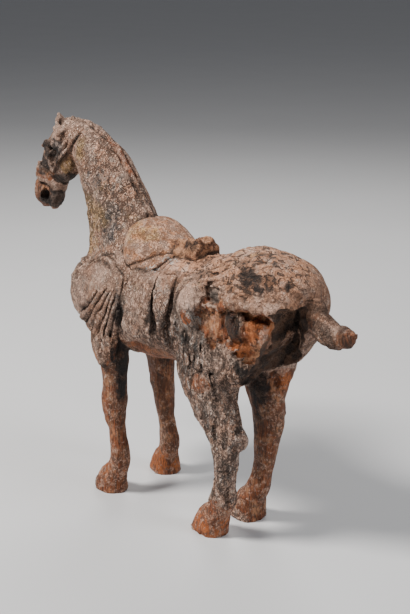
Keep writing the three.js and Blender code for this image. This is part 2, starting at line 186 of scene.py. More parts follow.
def pathDistance(p, points, withShare=False):  # distance to a line through points, and how far along it
    points = np.float32(points)
    best = np.full(len(p), 1e6, np.float32)
    share = np.zeros(len(p), np.float32)
    for n, (a, b) in enumerate(zip(points[:-1], points[1:])):
        ab = b - a
        s = np.clip(((p - a) @ ab) / (ab @ ab + 1e-9), 0, 1)
        far = ((p - a - s[:, None] * ab) ** 2).sum(1)
        share = np.where(far < best, (n + s) / (len(points) - 1), share)
        best = np.minimum(best, far)
    return (np.sqrt(best), share) if withShare else np.sqrt(best)


noiseTable = np.random.default_rng(7).random((48, 48, 48)).astype(np.float32)
spin = np.array(Matrix.Rotation(0.9, 3, Vector((0.4, 0.7, 0.6)).normalized()), np.float32)  # hides the noise's grid


def noise(p, size, seed=0):  # smooth noise from 0 to 1, size in mm or one for each axis
    q = (p / np.float32(size)) @ spin + 17.3 * seed + 4000
    i = np.floor(q).astype(np.int32)
    f = q - i
    fx, fy, fz = (f * f * f * (f * (f * 6 - 15) + 10)).T
    i %= len(noiseTable)
    x0, y0, z0 = i.T
    x1, y1, z1 = ((i + 1) % len(noiseTable)).T

    def level(z):
        front = noiseTable[x0, y0, z] * (1 - fx) + noiseTable[x1, y0, z] * fx
        return front * (1 - fy) + (noiseTable[x0, y1, z] * (1 - fx) + noiseTable[x1, y1, z] * fx) * fy

    return level(z0) * (1 - fz) + level(z1) * fz


def layeredNoise(p, size, seed=0, layers=3):
    total = sum(noise(p, np.float32(size) * 0.5 ** n, seed + n) * 0.5 ** n for n in range(layers))
    return total / (2 - 0.5 ** (layers - 1))


limbSteps = 24  # fine rows for each row of a limb's table


def readLimb(limb, cell=2.5):  # finds the nearest row for each place beside the middle line
    fine = finer(limb["rows"], limbSteps)
    middle = fine[:, :2]
    ahead = np.gradient(middle, axis=0)
    step = np.linalg.norm(ahead, axis=1)
    ahead /= step[:, None]
    margin = fine[:, 2:5].max() + 30
    low = middle.min(0) - margin
    count = np.ceil((middle.max(0) + margin - low) / cell).astype(int) + 1
    y, z = np.meshgrid(*(low[n] + cell * np.arange(count[n]) for n in (0, 1)), indexing="ij")
    nearest = []
    for spots in np.array_split(np.stack([y.ravel(), z.ravel()], 1), 1 + y.size // 4000):
        i = ((spots[:, None] - middle) ** 2).sum(2).argmin(1)
        slide = ((spots - middle[i]) * ahead[i]).sum(1) / step[i]
        nearest.append(np.clip(i + np.clip(slide, -0.5, 0.5), 0, len(fine) - 1))
    limb.update(fine=fine, ahead=ahead, low=low, cell=cell,
                nearest=np.concatenate(nearest).reshape(count).astype(np.float32))


def alongLimb(limb, p):  # distance to a limb's skin, the row beside the place and the angle round the limb
    q = (p[:, 1:] - limb["low"]) / limb["cell"]
    grid, last = limb["nearest"], len(limb["fine"]) - 1
    inside = ((q > 0) & (q < np.array(grid.shape) - 1.001)).all(1)
    distance, row, angle = (np.full(len(p), v, np.float32) for v in (farAway, 0, 0))
    q = q[inside]
    t = read4(grid, *np.floor(q).astype(int).T, *(q - np.floor(q)).T)
    k = np.minimum(t.astype(int), last - 1)
    f = (t - k)[:, None]
    y, z, over, under, side, x = (limb["fine"][k] * (1 - f) + limb["fine"][k + 1] * f).T
    ty, tz = (limb["ahead"][k] * (1 - f) + limb["ahead"][k + 1] * f).T
    dy, dz = p[inside, 1] - y, p[inside, 2] - z
    out = dy * tz - dz * ty
    m = limb["fullness"]
    reach = np.where(out > 0, over, under)
    a = np.abs(out) / reach + 1e-5
    b = np.abs(p[inside, 0] - x) / side + 1e-5
    rho = (a ** m + b ** m) ** (1 / m)
    d = (rho - 1) / (rho ** (1 - m) * np.hypot(a ** (m - 1) / reach, b ** (m - 1) / side))
    beyond = np.where((t < 0.01) | (t > last - 0.01), np.abs(dy * ty + dz * tz), 0)
    distance[inside] = np.where(beyond > 0.3, np.hypot(np.maximum(d, 0), beyond), d)
    row[inside] = t / limbSteps
    angle[inside] = np.degrees(np.arctan2(b ** (m / 2), np.sign(out) * a ** (m / 2)))
    return distance, row, angle


for limb in limbs.values():
    readLimb(limb)
print("limbs read")


# ---- cloth, saddle and harness, laid on the trunk by angle from the spine and distance y

flankCloth = {
    # angle from the spine, front edge, rear edge, how far it stands off the body
    "blanket": rowsOf("46 -34 18 4, 60 -40 17 7, 76 -42 17 8, 92 -45 15 8, 106 -52 9 8, 115 -38 1 6"),
    "rearFold": rowsOf("46 20 51 4, 60 18 51 7, 76 18 51 10, 90 19 45 10, 104 24 39 8, 128 27 37 4"),
    "edgeRound": 3.0,
    "haunchLump": [[60, 88, 352], [26, 30, 37]],
    "strands": 0.9,        # depth of the fine lines that run down the blanket, mm
    "strandWidth": 3.4,
}
flankCloth["blanketRows"] = finer(flankCloth["blanket"])
flankCloth["foldRows"] = finer(flankCloth["rearFold"])
mmPerDegree = 1.4  # on the flank


def drapeField(trunk, rows, roundness, relief=0):
    y, angle, skin = trunk["y"], trunk["angle"], trunk["skin"]
    front, rear, lift = (np.interp(angle, rows[:, 0], rows[:, n]) for n in (1, 2, 3))
    across = np.clip((y - front) / (rear - front), 0, 1)
    stand = lift * (0.72 + 0.28 * np.sin(np.pi * across)) + relief
    outside = np.maximum.reduce([front - y, y - rear, (rows[0, 0] - angle) * mmPerDegree,
                                 (angle - rows[-1, 0]) * mmPerDegree])
    return cutBy(skin - stand, outside, roundness)


seat = {
    # y, crown above the body, rim, angle of the edge
    "saddle": rowsOf("""
        -87 22 4 21, -78 29 5 31, -66 34 6 42, -53 34 6 49, -38 29 6 48, -20 22 6 39, -4 16 5 27, 12 10 4 18"""),
    "skirt": rowsOf("-52 4 3 44, -44 4 4 51, -16 4 5 55, 0 4 5 47, 9 4 4 34, 16 4 3 22"),
    "cantleFront": 6, "cantleRear": 60, "cantleWidth": 54,
    "cantleRise": [5, 17, 23, 18, 24, 20, 8],
    "ruffle": 2.6,
}
seat["saddleRows"] = finer(seat["saddle"])
seat["skirtRows"] = finer(seat["skirt"])


def coverField(trunk, rows, roundness):
    y, angle, skin = trunk["y"], trunk["angle"], trunk["skin"]
    crown, rim, edge = (np.interp(y, rows[:, 0], rows[:, n]) for n in (1, 2, 3))
    share = np.clip(angle / edge, 0, 1)
    stand = rim + (crown - rim) * (1 - share ** 2.4)
    outside = np.maximum.reduce([(angle - edge) * 1.45, rows[0, 0] - y, y - rows[-1, 0]])
    return cutBy(skin - stand, outside, roundness)


def cantleField(p, trunk):
    front, rear, width = seat["cantleFront"], seat["cantleRear"], seat["cantleWidth"]
    across = np.clip(p[:, 0] / width + 0.5, 0, 1) * (len(seat["cantleRise"]) - 1)
    rise = between(np.array(seat["cantleRise"], float)[:, None], across)[:, 0]
    rise = rise + seat["ruffle"] * np.sin(p[:, 0] * 0.52 + 2.6 * noise(p, 22, 5))
    rise = rise - 2 + 11 * (layeredNoise(p, [9, 9, 40], 6, 2) - 0.5)
    rise = rise * (0.8 + 0.25 * fade((trunk["y"] - front) / (rear - front), 0.1, 0.9))
    outside = np.maximum.reduce([np.abs(p[:, 0]) - width / 2, front - trunk["y"], trunk["y"] - rear])
    return cutBy(trunk["skin"] - rise, outside, 5)


breastCloth = {
    # where the folds start at the collar, a point half way and the hem
    "rows": [rowsOf("68 -57 374, 80 -54 320, 70 -85 262"),
             rowsOf("66 -64 378, 79 -76 312, 76 -102 252"),
             rowsOf("64 -76 384, 76 -100 320, 72 -124 254"),
             rowsOf("60 -92 391, 71 -124 330, 70 -143 267"),
             rowsOf("54 -114 387, 65 -147 335, 64 -168 282"),
             rowsOf("49 -147 360, 48 -182 338, 40 -206 284"),
             rowsOf("-4 -198 354, -4 -221 335, -4 -226 290")],
    "middle": [0, -120, 318],
    "pleats": 12,
    "base": 3.6,        # how far the cloth stands off the body
    "foldHeight": 1.6,  # height of the small folds between the pleats
    # the fan of pleats, each a roll from the saddle's corner to the hem
    "rolls": [rowsOf("77 -99 348, 79 -124 324, 70 -160 302"),
              rowsOf("76 -85 351, 79 -106 328, 78 -132 304, 72 -154 285"),
              rowsOf("77 -74 352, 80 -97 322, 74 -127 290, 72 -140 273"),
              rowsOf("77 -67 351, 81 -86 320, 76 -112 286, 74 -122 268"),
              rowsOf("77 -61 350, 81 -74 321, 75 -98 284, 75 -107 263"),
              rowsOf("76 -56 351, 81 -65 321, 75 -85 287, 75 -95 261"),
              rowsOf("79 -50 352, 81 -56 319, 70 -76 284, 67 -84 263")],
    "rollInset": 2.2,
    "rollSize": [2.4, 6.0],
    "tongue": [[rowsOf("66 -124 266, 65 -121 244, 65 -117 229"), 12],
               [rowsOf("70 -108 262, 70 -106 243, 68 -106 223"), 12.5],
               [rowsOf("70 -94 262, 69 -93 246, 68 -94 233"), 10.5]],
    "hemRoll": rowsOf("""
        62 -51 386, 58 -72 391, 50 -95 393, 52 -117 388, 54 -140 379, 56 -153 370, 60 -169 359, 58 -186 346,
        46 -204 338, 24 -216 334, 0 -220 333"""),
    "collar": 3.5,      # rolled edge along the neck
    "thickness": 16,
}


def trunkAndForelegs(p):
    body = alongLimb(limbs["trunk"], p)[0]
    for name in ("leftForeleg", "rightForeleg"):
        body = joined(body, alongLimb(limbs[name], p)[0], 14)
    return body


def bodyReach(directions, middle):  # how far the body reaches from the middle of the chest
    reach = np.zeros(len(directions))
    for r in np.arange(20, 190, 1.5):
        inside = trunkAndForelegs((middle + directions * r).astype(np.float32)) < 0
        reach[inside] = r
    return reach


def grid2(count):  # even places from 0 to 1 both ways
    return (g.ravel() for g in np.meshgrid(*(np.linspace(0, 1, n) for n in count), indexing="ij"))


def layBreastCloth(cell=0.7):  # the cloth's outer face as reach from an upright line in the chest
    rows = np.array(breastCloth["rows"], float)
    middle = np.array(breastCloth["middle"], float)

    def guide(u, v):
        a, b, c = (between(rows[:, k], v * (len(rows) - 1)) for k in range(3))
        t = (0.02 + 0.98 * u)[:, None]
        out = (1 - t) ** 2 * a + 2 * t * (1 - t) * b + t * t * c - middle
        far = np.linalg.norm(out, axis=1)
        return out / far[:, None], far

    few = 61, 91
    out, far = guide(*grid2(few))
    reach = np.maximum(bodyReach(out, middle), far - 8.5).reshape(few)
    for _ in range(3):  # takes the steps out of the reach
        reach[1:-1] = (reach[:-2] + 2 * reach[1:-1] + reach[2:]) / 4
        reach[:, 1:-1] = (reach[:, :-2] + 2 * reach[:, 1:-1] + reach[:, 2:]) / 4

    u, v = grid2(((900, 1500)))
    gu, gv = u * (few[0] - 1), v * (few[1] - 1)
    i, j = np.minimum(gu.astype(int), few[0] - 2), np.minimum(gv.astype(int), few[1] - 2)
    base = read4(reach, i, j, gu - i, gv - j)

    wander = noise(np.stack([u * 3, v * 9, v * 0], 1), 1.0, 3) - 0.5
    place = v * breastCloth["pleats"] + 0.7 * wander * (0.4 + u)
    strength = fade(u, 0.12, 0.6) * (1 - 0.7 * fade(v, 0.5, 0.7))
    strength *= 0.75 + 0.6 * noise(np.stack([v * 0, np.floor(place) * 3.7, u * 1.5], 1), 1.0, 9)
    lift = breastCloth["base"] + breastCloth["foldHeight"] * np.abs(np.sin(np.pi * place)) ** 0.75 * strength
    lift += breastCloth["collar"] * ridge(u, 0.045) * fade(v, 0.3, 0.45)
    lift -= 2.0 * ridge(u - 0.1, 0.035) * fade(v, 0.3, 0.45)
    rim = np.minimum.reduce([u * 90, (1 - u) * 120, v * 150 + 0.5])
    lift -= 4 * (1 - fade(rim, 0, 3.5))
    x, y, z = (middle + guide(u, v)[0] * (base + lift)[:, None]).T

    low, size = np.array([-0.12, 190.0]), np.array([cell / 75, cell])
    spots = np.stack([np.arctan2(x, -(y - middle[1])), z], 1)
    table = np.zeros(((np.array([2.75, 410]) - low) / size).astype(int), np.float32)
    spots = ((spots - low) / size).astype(int)
    good = ((spots >= 0) & (spots < table.shape)).all(1)
    np.maximum.at(table, tuple(spots[good].T), np.hypot(x, y - middle[1])[good].astype(np.float32))

    def spread(table, least):  # gives an empty cell the mean of the cells round it
        around = np.stack([np.roll(table, s, a) for s in (-1, 1) for a in (0, 1)])
        full = (around > 0).sum(0)
        return np.where((table == 0) & (full >= least), around.sum(0) / np.maximum(full, 1), table)

    for _ in range(3):  # fills single cells that no sample hit
        table = spread(table, 3)
    cover = (table > 0).astype(np.float32)
    for _ in range(10):  # carries the reach past the edge so it can be blurred
        table = spread(table, 0)
    for a in (0, 1) * 2:
        table, cover = ((np.roll(t, 1, a) + 2 * t + np.roll(t, -1, a)) / 4 for t in (table, cover))
    breastCloth.update(table=table, cover=cover, low=low, size=size)


def rollField(p):  # the pleats laid on the cloth, and the dark lines between them
    first = np.full(len(p), farAway, np.float32)
    second = first.copy()
    thin, thick = breastCloth["rollSize"]
    wavy = warped(p, 5, 16, 26)
    for points in breastCloth["rolls"]:
        points = np.array(points, float)
        inward = np.array(breastCloth["middle"]) * [1, 1, 0] + [0, 0, 1] * points - points
        sunk = breastCloth["rollInset"] + np.linspace(2.5, 0, len(points)) ** 2 * 0.5
        points = points + inward / np.linalg.norm(inward, axis=1)[:, None] * sunk[:, None]
        far, share = pathDistance(wavy, points, True)
        d = far - thin - (thick - thin) * fade(share, 0, 0.55)
        second = np.minimum(second, np.maximum(first, d))
        first = np.minimum(first, d)
    return first, ridge(second - first, 1.6) * (first < 4) * fade(360 - p[:, 2], 2, 26)


def clothField(p):
    m = folded(p)
    radius = np.hypot(m[:, 0], p[:, 1] - breastCloth["middle"][1])
    q = np.stack([np.arctan2(m[:, 0], -(p[:, 1] - breastCloth["middle"][1])), p[:, 2]], 1)
    q = (q - breastCloth["low"]) / breastCloth["size"]
    inside = ((q > 1) & (q < np.array(breastCloth["table"].shape) - 2.001)).all(1) & (radius < 150)
    field = np.full(len(p), 40.0, np.float32)
    q, r = q[inside], radius[inside]
    cell = (*np.floor(q).astype(int).T, *(q - np.floor(q)).T)
    reach, cover = (read4(breastCloth[name], *cell) for name in ("table", "cover"))
    sheet = np.maximum((r - reach) * 0.85, reach - breastCloth["thickness"] - r)
    field[inside] = np.maximum(sheet, np.where(cover > 0.97, -8, (0.5 - cover) * 4))
    valley = np.zeros(len(p), np.float32)
    near = (field < 30) | ((m[:, 0] > 40) & (p[:, 1] < -30) & (p[:, 2] < 280))
    if near.any():
        m = m[near]
        rolls, valley[near] = rollField(m)
        for points, size in breastCloth["tongue"]:
            rolls = joined(rolls, pathDistance(warped(m, 6, 12, 28), points) - size, 2)
        rolls = joined(rolls, pathDistance(m, breastCloth["hemRoll"]) - 3.2, 1.5)
        field[near] = joined(field[near], rolls, 1.0)
    return field, valley


def warped(p, amount, size, seed):  # the same places pushed about, for broken edges
    return p + amount * np.stack([noise(p, size, seed + n) - 0.5 for n in (0, 1, 2)], 1)


layBreastCloth()
print("breast cloth laid")


# ---- the carving with its damage

headCarving = {
    "strap": rowsOf("20 -207 565, 25 -214 554, 25 -230 539, 24 -249 523, 23 -268 505, 21 -280 491"),
    "secondStrap": rowsOf("21 -222 567, 25 -226 557, 25 -240 544, 26 -251 531, 25 -267 515, 24 -280 501"),
    "strapGroove": rowsOf("""
        23 -206 561, 26 -213 550, 23 -226 536, 19 -243 524, 21 -255 514, 21 -262 506, 20 -271 496, 16 -285 487"""),
    "cheekGroove": rowsOf("24 -222 540, 20 -232 524, 12 -239 512, 8 -242 499, 11 -251 492"),
    "strapHeight": 4.2, "strapWidth": 3.4,
    "noseband": [4.75, 5.95], "nosebandHeight": 4.4,
    "brow": rowsOf("26 -262 533, 27 -271 538, 26 -283 539, 22 -295 536, 17 -304 530"),
    "eye": [[21, -284, 528], [9, 10, 8]], "socket": [13, 15, 12],
    "temple": [[27, -272, 522], [8, 7, 11]],
    "forelock": [[0, -252, 571], [13, 15, 7]],
    "lowerLid": rowsOf("27 -271 527, 27 -278 520, 25 -288 516, 19 -299 518"),
    "nostril": [[14, -309, 447], [8, 7.5, 9]],
    "mouth": rowsOf("12 -298 424, 15 -298 432, 17 -297 440, 17 -293 449"),
    "tufts": """
        23 -254 557 7, 25 -263 550 7, 18 -263 560 7, 26 -256 548 5, 1 -262 568 8, -10 -258 567 7, 12 -270 556 7,
        5 -240 574 7, 14 -243 570 6""",
    "leftEar": [[16, -261, 567], 19, 0.1],
    "rightEar": [[-17, -258, 567], 9, -0.1],
    "earHalfWidth": 8.0,
    "maneHalfWidth": 4.5, "maneHeight": 2.8,
}


def earField(p, foot, rise, lean):
    up = np.clip((p[:, 2] - foot[2]) / rise, -0.6, 1)
    width = headCarving["earHalfWidth"] * np.interp(up, [-0.6, 0, 0.45, 0.85, 1], [0.7, 1, 0.85, 0.36, 0.12])
    dx = (p[:, 0] - foot[0] - up * rise * lean) / width
    dy = (p[:, 1] - foot[1] + up * rise * 0.15) / (width * 0.75)
    past = np.maximum(np.maximum(p[:, 2] - foot[2] - rise, foot[2] - 0.6 * rise - p[:, 2]), 0)
    within = (np.hypot(dx, dy) < 1) & (past <= 0)
    shell = np.hypot((np.hypot(dx, dy) - 1) * width * 0.8, past) * np.where(within, -1, 1)
    scoop = lump(p, [foot[0] + 3, foot[1] + 5, foot[2] + rise * 0.35], [3.6, 4.0, rise * 0.5])
    return cutBy(shell, -scoop, 1.5)


damage = {
    # the left haunch, where the crust has broken away and the wood has rotted: middle, reach
    "rot": "76 142 342 32 37 38, 66 188 338 32 30 33, 54 214 350 26 16 17, 64 192 303 26 20 16",
    "rotDepth": 6.0,
    "haunchBox": [[20, 85, 255], [1000, 256, 425]],  # corners of the box that holds the rot and the hole
    "haunchEdge": rowsOf("254 172, 271 181, 296 194, 324 213, 341 215, 370 230, 380 242"),  # z, y
    "groinWall": [-16, 212, 0.75],  # x and y of its front, and how much it leans
    "groinHeights": [250, 376],
    "underLedge": [[62, 206, 360], [18, 30, 9]],
    "ledge": "65 176 378 10, 62 190 376 14, 57 205 375 15, 51 219 374 14, 45 230 372 10",
    "knot": [[62, 166, 343], [13, 17, 22]],
    "squareHole": {"middle": [76, 126, 379], "size": [26, 28, 23], "turn": -6},
    "flakes": """
        59 131 396 6 22 7, 63 113 388 5 7 14, 62 168 388 7 17 12, 69 132 365 6 16 5, 68 152 369 7 15 9,
        72 116 362 4 8 9""",
    "smallHole": [[-20, 171, 236], [6, 6, 9]],
    # line, half width, depth
    "splits": [[rowsOf("66 126 268, 65 128 252, 66 131 224, 66 130 191, 65 130 161"), 2.4, 5.0],
               [rowsOf("60 138 118, 57 145 96, 54 144 76, 51 144 52, 50 143 34"), 2.8, 5.5],
               [rowsOf("74 113 352, 74 112 338, 74 110 318, 73 112 300, 72 110 282, 72 112 264"), 2.4, 6.0],
               [rowsOf("72 96 330, 74 92 312, 73 93 290, 72 90 272"), 2.0, 3.6],
               [rowsOf("71 128 318, 70 131 300, 68 130 282"), 2.0, 3.6]],
}

grooves = [  # points, half width, depth in mm: the edges of cloth, folds and straps
    [rowsOf("68 -42 370, 75 -48 358, 80 -49 344, 80 -51 328, 77 -57 311, 70 -68 280"), 5.2, 8.0],
    [rowsOf("66 -84 264, 76 -90 258, 77 -109 258, 72 -137 264, 70 -155 277, 60 -182 290"), 3.4, 4.5],
    [rowsOf("60 17 382, 66 18 368, 73 19 349, 75 18 331, 74 12 305, 71 10 285, 66 12 268"), 3.0, 6.5],
    [rowsOf("58 52 386, 67 49 369, 74 50 347, 75 45 326, 74 36 310, 70 38 282"), 2.8, 5.0],
    [rowsOf("46 -84 400, 52 -76 396, 58 -62 388, 60 -46 384, 62 -36 379, 62 -22 379, 58 -6 384"), 2.2, 3.6],
    [rowsOf("57 1 386, 50 9 392, 36 14 402"), 2.0, 2.6],
    [rowsOf("43 47 403, 45 74 406, 54 103 401, 55 127 405"), 2.2, 2.6],
    [rowsOf("""
        66 61 372, 60 75 390, 62 103 391, 70 114 374, 75 116 353, 76 104 328, 75 87 314, 75 67 326, 74 56 348,
        66 61 372"""), 2.8, 4.2],
    [rowsOf("75 116 352, 76 108 336, 76 99 324, 75 92 314"), 3.6, 5.5],
    [rowsOf("72 58 326, 73 64 300, 72 68 272, 68 72 250"), 2.2, 3.2],
    [rowsOf("72 76 312, 73 80 290, 71 84 262"), 2.0, 3.0],
    [rowsOf("73 40 300, 71 48 280, 66 56 258"), 2.2, 3.2],
    [rowsOf("50 60 33, 66 84 38, 66 110 38, 56 138 36, 42 148 34"), 2.0, 2.2],
    [rowsOf("62 131 111, 58 141 112, 50 150 113"), 2.0, 2.6],
    [rowsOf("74 84 262, 72 100 261, 70 124 262, 65 150 268"), 2.3, 3.4],
]

crust = {
    # where paint and ground are lost and bare wood shows: middle, reach, amount
    "lost": """
        44 -96 110 60 70 160 1, -58 -105 110 50 80 160 1, 44 125 20 60 80 46 0.85, -36 120 110 48 80 145 0.95,
        80 105 242 30 21 17 1, 0 -20 236 80 75 30 0.95, 75 190 340 45 60 36 1.05, 50 215 300 30 40 36 0.9,
        0 262 358 26 30 30 0.6, 0 320 345 30 40 30 0.7, 0 -322 445 40 28 34 1, 0 -305 483 40 30 14 0.9,
        0 -150 495 10 60 80 0.9, 0 -205 400 26 20 60 0.7, 64 -118 226 26 20 22 0.7, 58 -28 258 26 54 13 1.05,
        -30 172 222 26 24 44 1.1, 88 88 340 12 13 15 0.95""",
    "edge": 0.5, "step": 1.6,
}

relief = {
    # middle, reach, then the size of the old paint's plates along x, y, z and the depth between them, mm
    "neck": [[26, -160, 460], [60, 110, 95], [7, 7, 12], 0.7],
    "back": [[20, 130, 405], [70, 120, 45], [12, 24, 10], 1.7],
    "haunch": [[62, 100, 290], [40, 70, 75], [9, 9, 24], 2.6],
    "hindLeg": [[50, 125, 150], [35, 60, 100], [8, 8, 28], 2.0],
    "flank": [[70, 20, 330], [30, 70, 60], [8, 8, 18], 1.2],
    "legs": [[20, 0, 90], [80, 170, 120], [9, 9, 40], 0.8],
}


def lostCrust(p):  # 0 where the crust is whole, over 0.5 where it is lost
    total = np.zeros(len(p), np.float32)
    for middle, reach, amount in spotsOf(crust["lost"]):
        total = np.maximum(total, amount * np.exp(-0.9 * offCentre(p, middle, reach) ** 1.5))
    return total + 0.75 * (layeredNoise(p, [20, 20, 30], 31, 4) - 0.5)


def windingGaps(p, size, seed):  # 1 along winding lines about size apart, 0 between them
    size = np.float32(size)
    moved = p + 0.6 * size * (noise(p, size * 1.1, seed)[:, None] - 0.5)
    return 1 - fade(np.abs(noise(moved, size, seed + 3) - 0.5), 0.03, 0.2)


def crazing(p):  # depth of the gaps between the plates
    depth = np.zeros(len(p), np.float32)
    for n, (middle, reach, size, deep) in enumerate(relief.values()):
        share = np.exp(-0.8 * offCentre(p, middle, reach) ** 1.6)
        near = share > 0.05
        if near.any():
            uneven = 0.4 + 1.2 * noise(p[near], 30, 108 + n)
            gaps = deep * share[near] * uneven * windingGaps(p[near], size, 110 + 7 * n)
            depth[near] = np.maximum(depth[near], gaps)
    return depth


def rottedHaunch(p, body):
    eaten = warped(warped(p, 16, 24, 41), 8, 8, 45)
    rot = np.minimum.reduce([lump(eaten, *spot) for spot in spotsOf(damage["rot"])])
    inRot = fade(-rot, -1.5, 3)
    grain = 5 * (noise(p, [6, 6, 16], 48) - 0.5) + 15 * (layeredNoise(p, 15, 44, 4) - 0.5)
    body = body + inRot * (damage["rotDepth"] + grain)
    body = cutBy(body, -lump(eaten, *damage["underLedge"]), 2)
    for x, y, z, size in rowsOf(damage["ledge"]):
        body = joined(body, lump(warped(p, 9, 10, 61), [x, y, z], [size, size * 1.2, size * 0.7]), 3)
    knot = lump(warped(p, 4, 10, 65), *damage["knot"])
    body = joined(body, knot, 1.5)
    body = body + 3.0 * ridge(knot + 4.6, 1.5) + 3.0 * ridge(knot - 2.4, 2.0) * inRot
    return body, np.maximum(inRot, fade(-knot, -3, 0))


def brokenHole(p, body):
    hole = damage["squareHole"]
    for middle, reach in spotsOf(damage["flakes"]):
        body = joined(body, lump(warped(p, 9, 8, 71), middle, reach) + 0.6 * (noise(p, 5, 75) - 0.5), 0.8)
    q = turned(p, hole["middle"], hole["turn"])
    box = (np.abs(warped(q, 1.6, 7, 51)) - np.float32(hole["size"]) / 2).max(1)
    return cutBy(body, -box, 1.0)


hockLump = [[42, 157, 160], [15, 13, 17]]
tailRings = [262, 322]  # y and z of the middle of the tail's curved grooves


def carving(p, parts=False):  # signed distance to the finished carving
    p = p.astype(np.float32)
    skin, row, angle = alongLimb(limbs["trunk"], p)
    fine = limbs["trunk"]["fine"]
    trunk = {"skin": skin, "angle": angle, "y": np.interp(row * limbSteps, np.arange(len(fine)), fine[:, 0])}
    # limbs, softly joined
    body = skin
    for name, fillet in (("leftForeleg", 4), ("rightForeleg", 4), ("leftHindleg", 10), ("rightHindleg", 10)):
        body = joined(body, alongLimb(limbs[name], p)[0], fillet)
    neckSkin, neckRow, neckAngle = alongLimb(limbs["neck"], p)
    maneEdge = np.abs(p[:, 0]) - headCarving["maneHalfWidth"] * (0.86 + 0.28 * noise(p, [90, 12, 12], 62))
    onMane = fade(90 - neckAngle, 0, 10) * fade(neckRow, 1.6, 2.4)
    hair = 5 * (layeredNoise(p, [3.5, 13, 13], 63, 2) - 0.5)
    mane = (headCarving["maneHeight"] + 0.6 * hair) * (1 - fade(maneEdge, -2.5, 0.8)) * onMane
    maneLine = ridge(maneEdge - 1.2, 1.8) * onMane * (0.35 + 0.65 * fade(noise(p, 22, 64), 0.35, 0.55))
    neckSkin = neckSkin - mane + 2.6 * maneLine
    body = joined(body, neckSkin, 12)

    # drapes on both flanks; the damage is on the left only
    mirrored = folded(p)

    def alongFlank(wave, size, seed):  # places by distance along the trunk and angle round it
        return np.stack([trunk["y"] + wave * noise(mirrored, size, seed), angle * mmPerDegree, angle * 0], 1)

    strands = noise(alongFlank(5, 40, 12), [flankCloth["strandWidth"], 26, 1], 14)
    strands = flankCloth["strands"] * (strands - 0.5) * 2
    blanket = drapeField(trunk, flankCloth["blanketRows"], flankCloth["edgeRound"], strands)
    foldRelief = 6 * (noise(alongFlank(4, 30, 15), [9, 44, 1], 16) - 0.5) + 3 * (noise(mirrored, 7, 18) - 0.5)
    fold = drapeField(trunk, flankCloth["foldRows"], flankCloth["edgeRound"], foldRelief)
    haunchLump = lump(mirrored, *flankCloth["haunchLump"]) + 4 * (layeredNoise(p, 14, 21) - 0.5)
    body = joined(body, haunchLump, 2)
    body = joined(body, lump(p, *hockLump), 8)
    saddle = coverField(trunk, seat["saddleRows"], 4)
    skirt = coverField(trunk, seat["skirtRows"], 2.5) + 2.2 * (noise(p, 8, 25) - 0.5)
    cantle = cantleField(p, trunk)
    cloth, valley = clothField(p)
    cloth = cloth + 3.0 * valley + 1.2 * (layeredNoise(p, 9, 24) - 0.5)
    line = maneLine * (neckSkin < 3)
    for points, width, depth in grooves:
        groove = ridge(pathDistance(mirrored, points), width)
        line = np.maximum(line, groove)
        body = body + depth * groove
        if depth > 3:
            blanket = blanket + 0.6 * depth * groove
            fold = fold + 0.6 * depth * groove
        if depth > 7:
            cloth = cloth + depth * groove

    rot = np.zeros(len(p), np.float32)
    low, high = damage["haunchBox"]
    haunch = ((p > low) & (p < high)).all(1)
    if haunch.any():
        body[haunch], rot[haunch] = rottedHaunch(p[haunch], body[haunch])
        body[haunch] = brokenHole(p[haunch], body[haunch])
    torn = warped(p, 7, 9, 35)
    edgeY = np.interp(torn[:, 2], *np.array(damage["haunchEdge"], float).T)
    wallX, wallY, wallLean = damage["groinWall"]
    wall = wallX + wallLean * np.maximum(torn[:, 1] - wallY, 0)
    bottom, top = damage["groinHeights"]
    groin = np.maximum.reduce([edgeY - torn[:, 1], wall - torn[:, 0], (bottom - torn[:, 2]) * 0.8,
                               torn[:, 2] - top])
    body = cutBy(body, -groin, 3)
    body = cutBy(body, -lump(p, *damage["smallHole"]), 1.5)
    leftHind = (p[:, 0] > 10) & (p[:, 1] > 50)
    if leftHind.any():
        wander = warped(p[leftHind], 5, 10, 54)
        for points, width, depth in damage["splits"]:
            split = ridge(pathDistance(wander, points), width)
            body[leftHind] += depth * split
            line[leftHind] = np.maximum(line[leftHind], split)

    # the crust ends in a low broken edge
    lost = np.maximum(lostCrust(p), 0.9 * rot * fade(layeredNoise(p, 12, 33, 3), 0.3, 0.45))
    bare = fade(lost, crust["edge"] - 0.04, crust["edge"] + 0.04)
    body = body + crust["step"] * bare
    whole = body
    for layer, seam in ((blanket, 1.6), (fold, 1.8), (skirt, 1.2), (cloth, 2.0), (saddle, 1.8), (cantle, 1.6)):
        edge = np.exp(-((layer - whole) / seam) ** 2 - (layer / 4) ** 2)
        line = line * (1 - fade(whole - layer, 1, 4))
        whole = joined(whole, layer, 1.0)
        whole = whole + 1.3 * edge * (1 - fade(-whole, 0.5, 2.5))
        line = np.maximum(line, edge)

    # head and tail
    near = (p[:, 1] < -205) & (p[:, 2] > 395)
    head = np.full(len(p), farAway, np.float32)
    if near.any():
        head[near], line[near] = headField(p[near], line[near])
    whole = joined(whole, head, 3)
    line = np.maximum(line, valley * (cloth < whole + 1.5))
    near = (p[:, 1] < -195) & (p[:, 2] > 460)
    if near.any():
        whole[near], line[near] = layStraps(p[near], whole[near], line[near])
    rings = np.hypot(p[:, 1] - tailRings[0], p[:, 2] - tailRings[1]) + 7 * noise(p, 16, 71)
    ringNoise = noise(np.stack([rings, rings * 0, rings * 0], 1), 4.5, 72)
    onTail = fade(p[:, 1], 222, 240)
    tail = alongLimb(limbs["tail"], p)[0] + 5.0 * (ringNoise - 0.5) * onTail
    line = np.maximum(line, 0.7 * fade(0.46 - ringNoise, 0, 0.1) * onTail * (tail < whole + 1.5))
    whole = joined(whole, tail, 7)

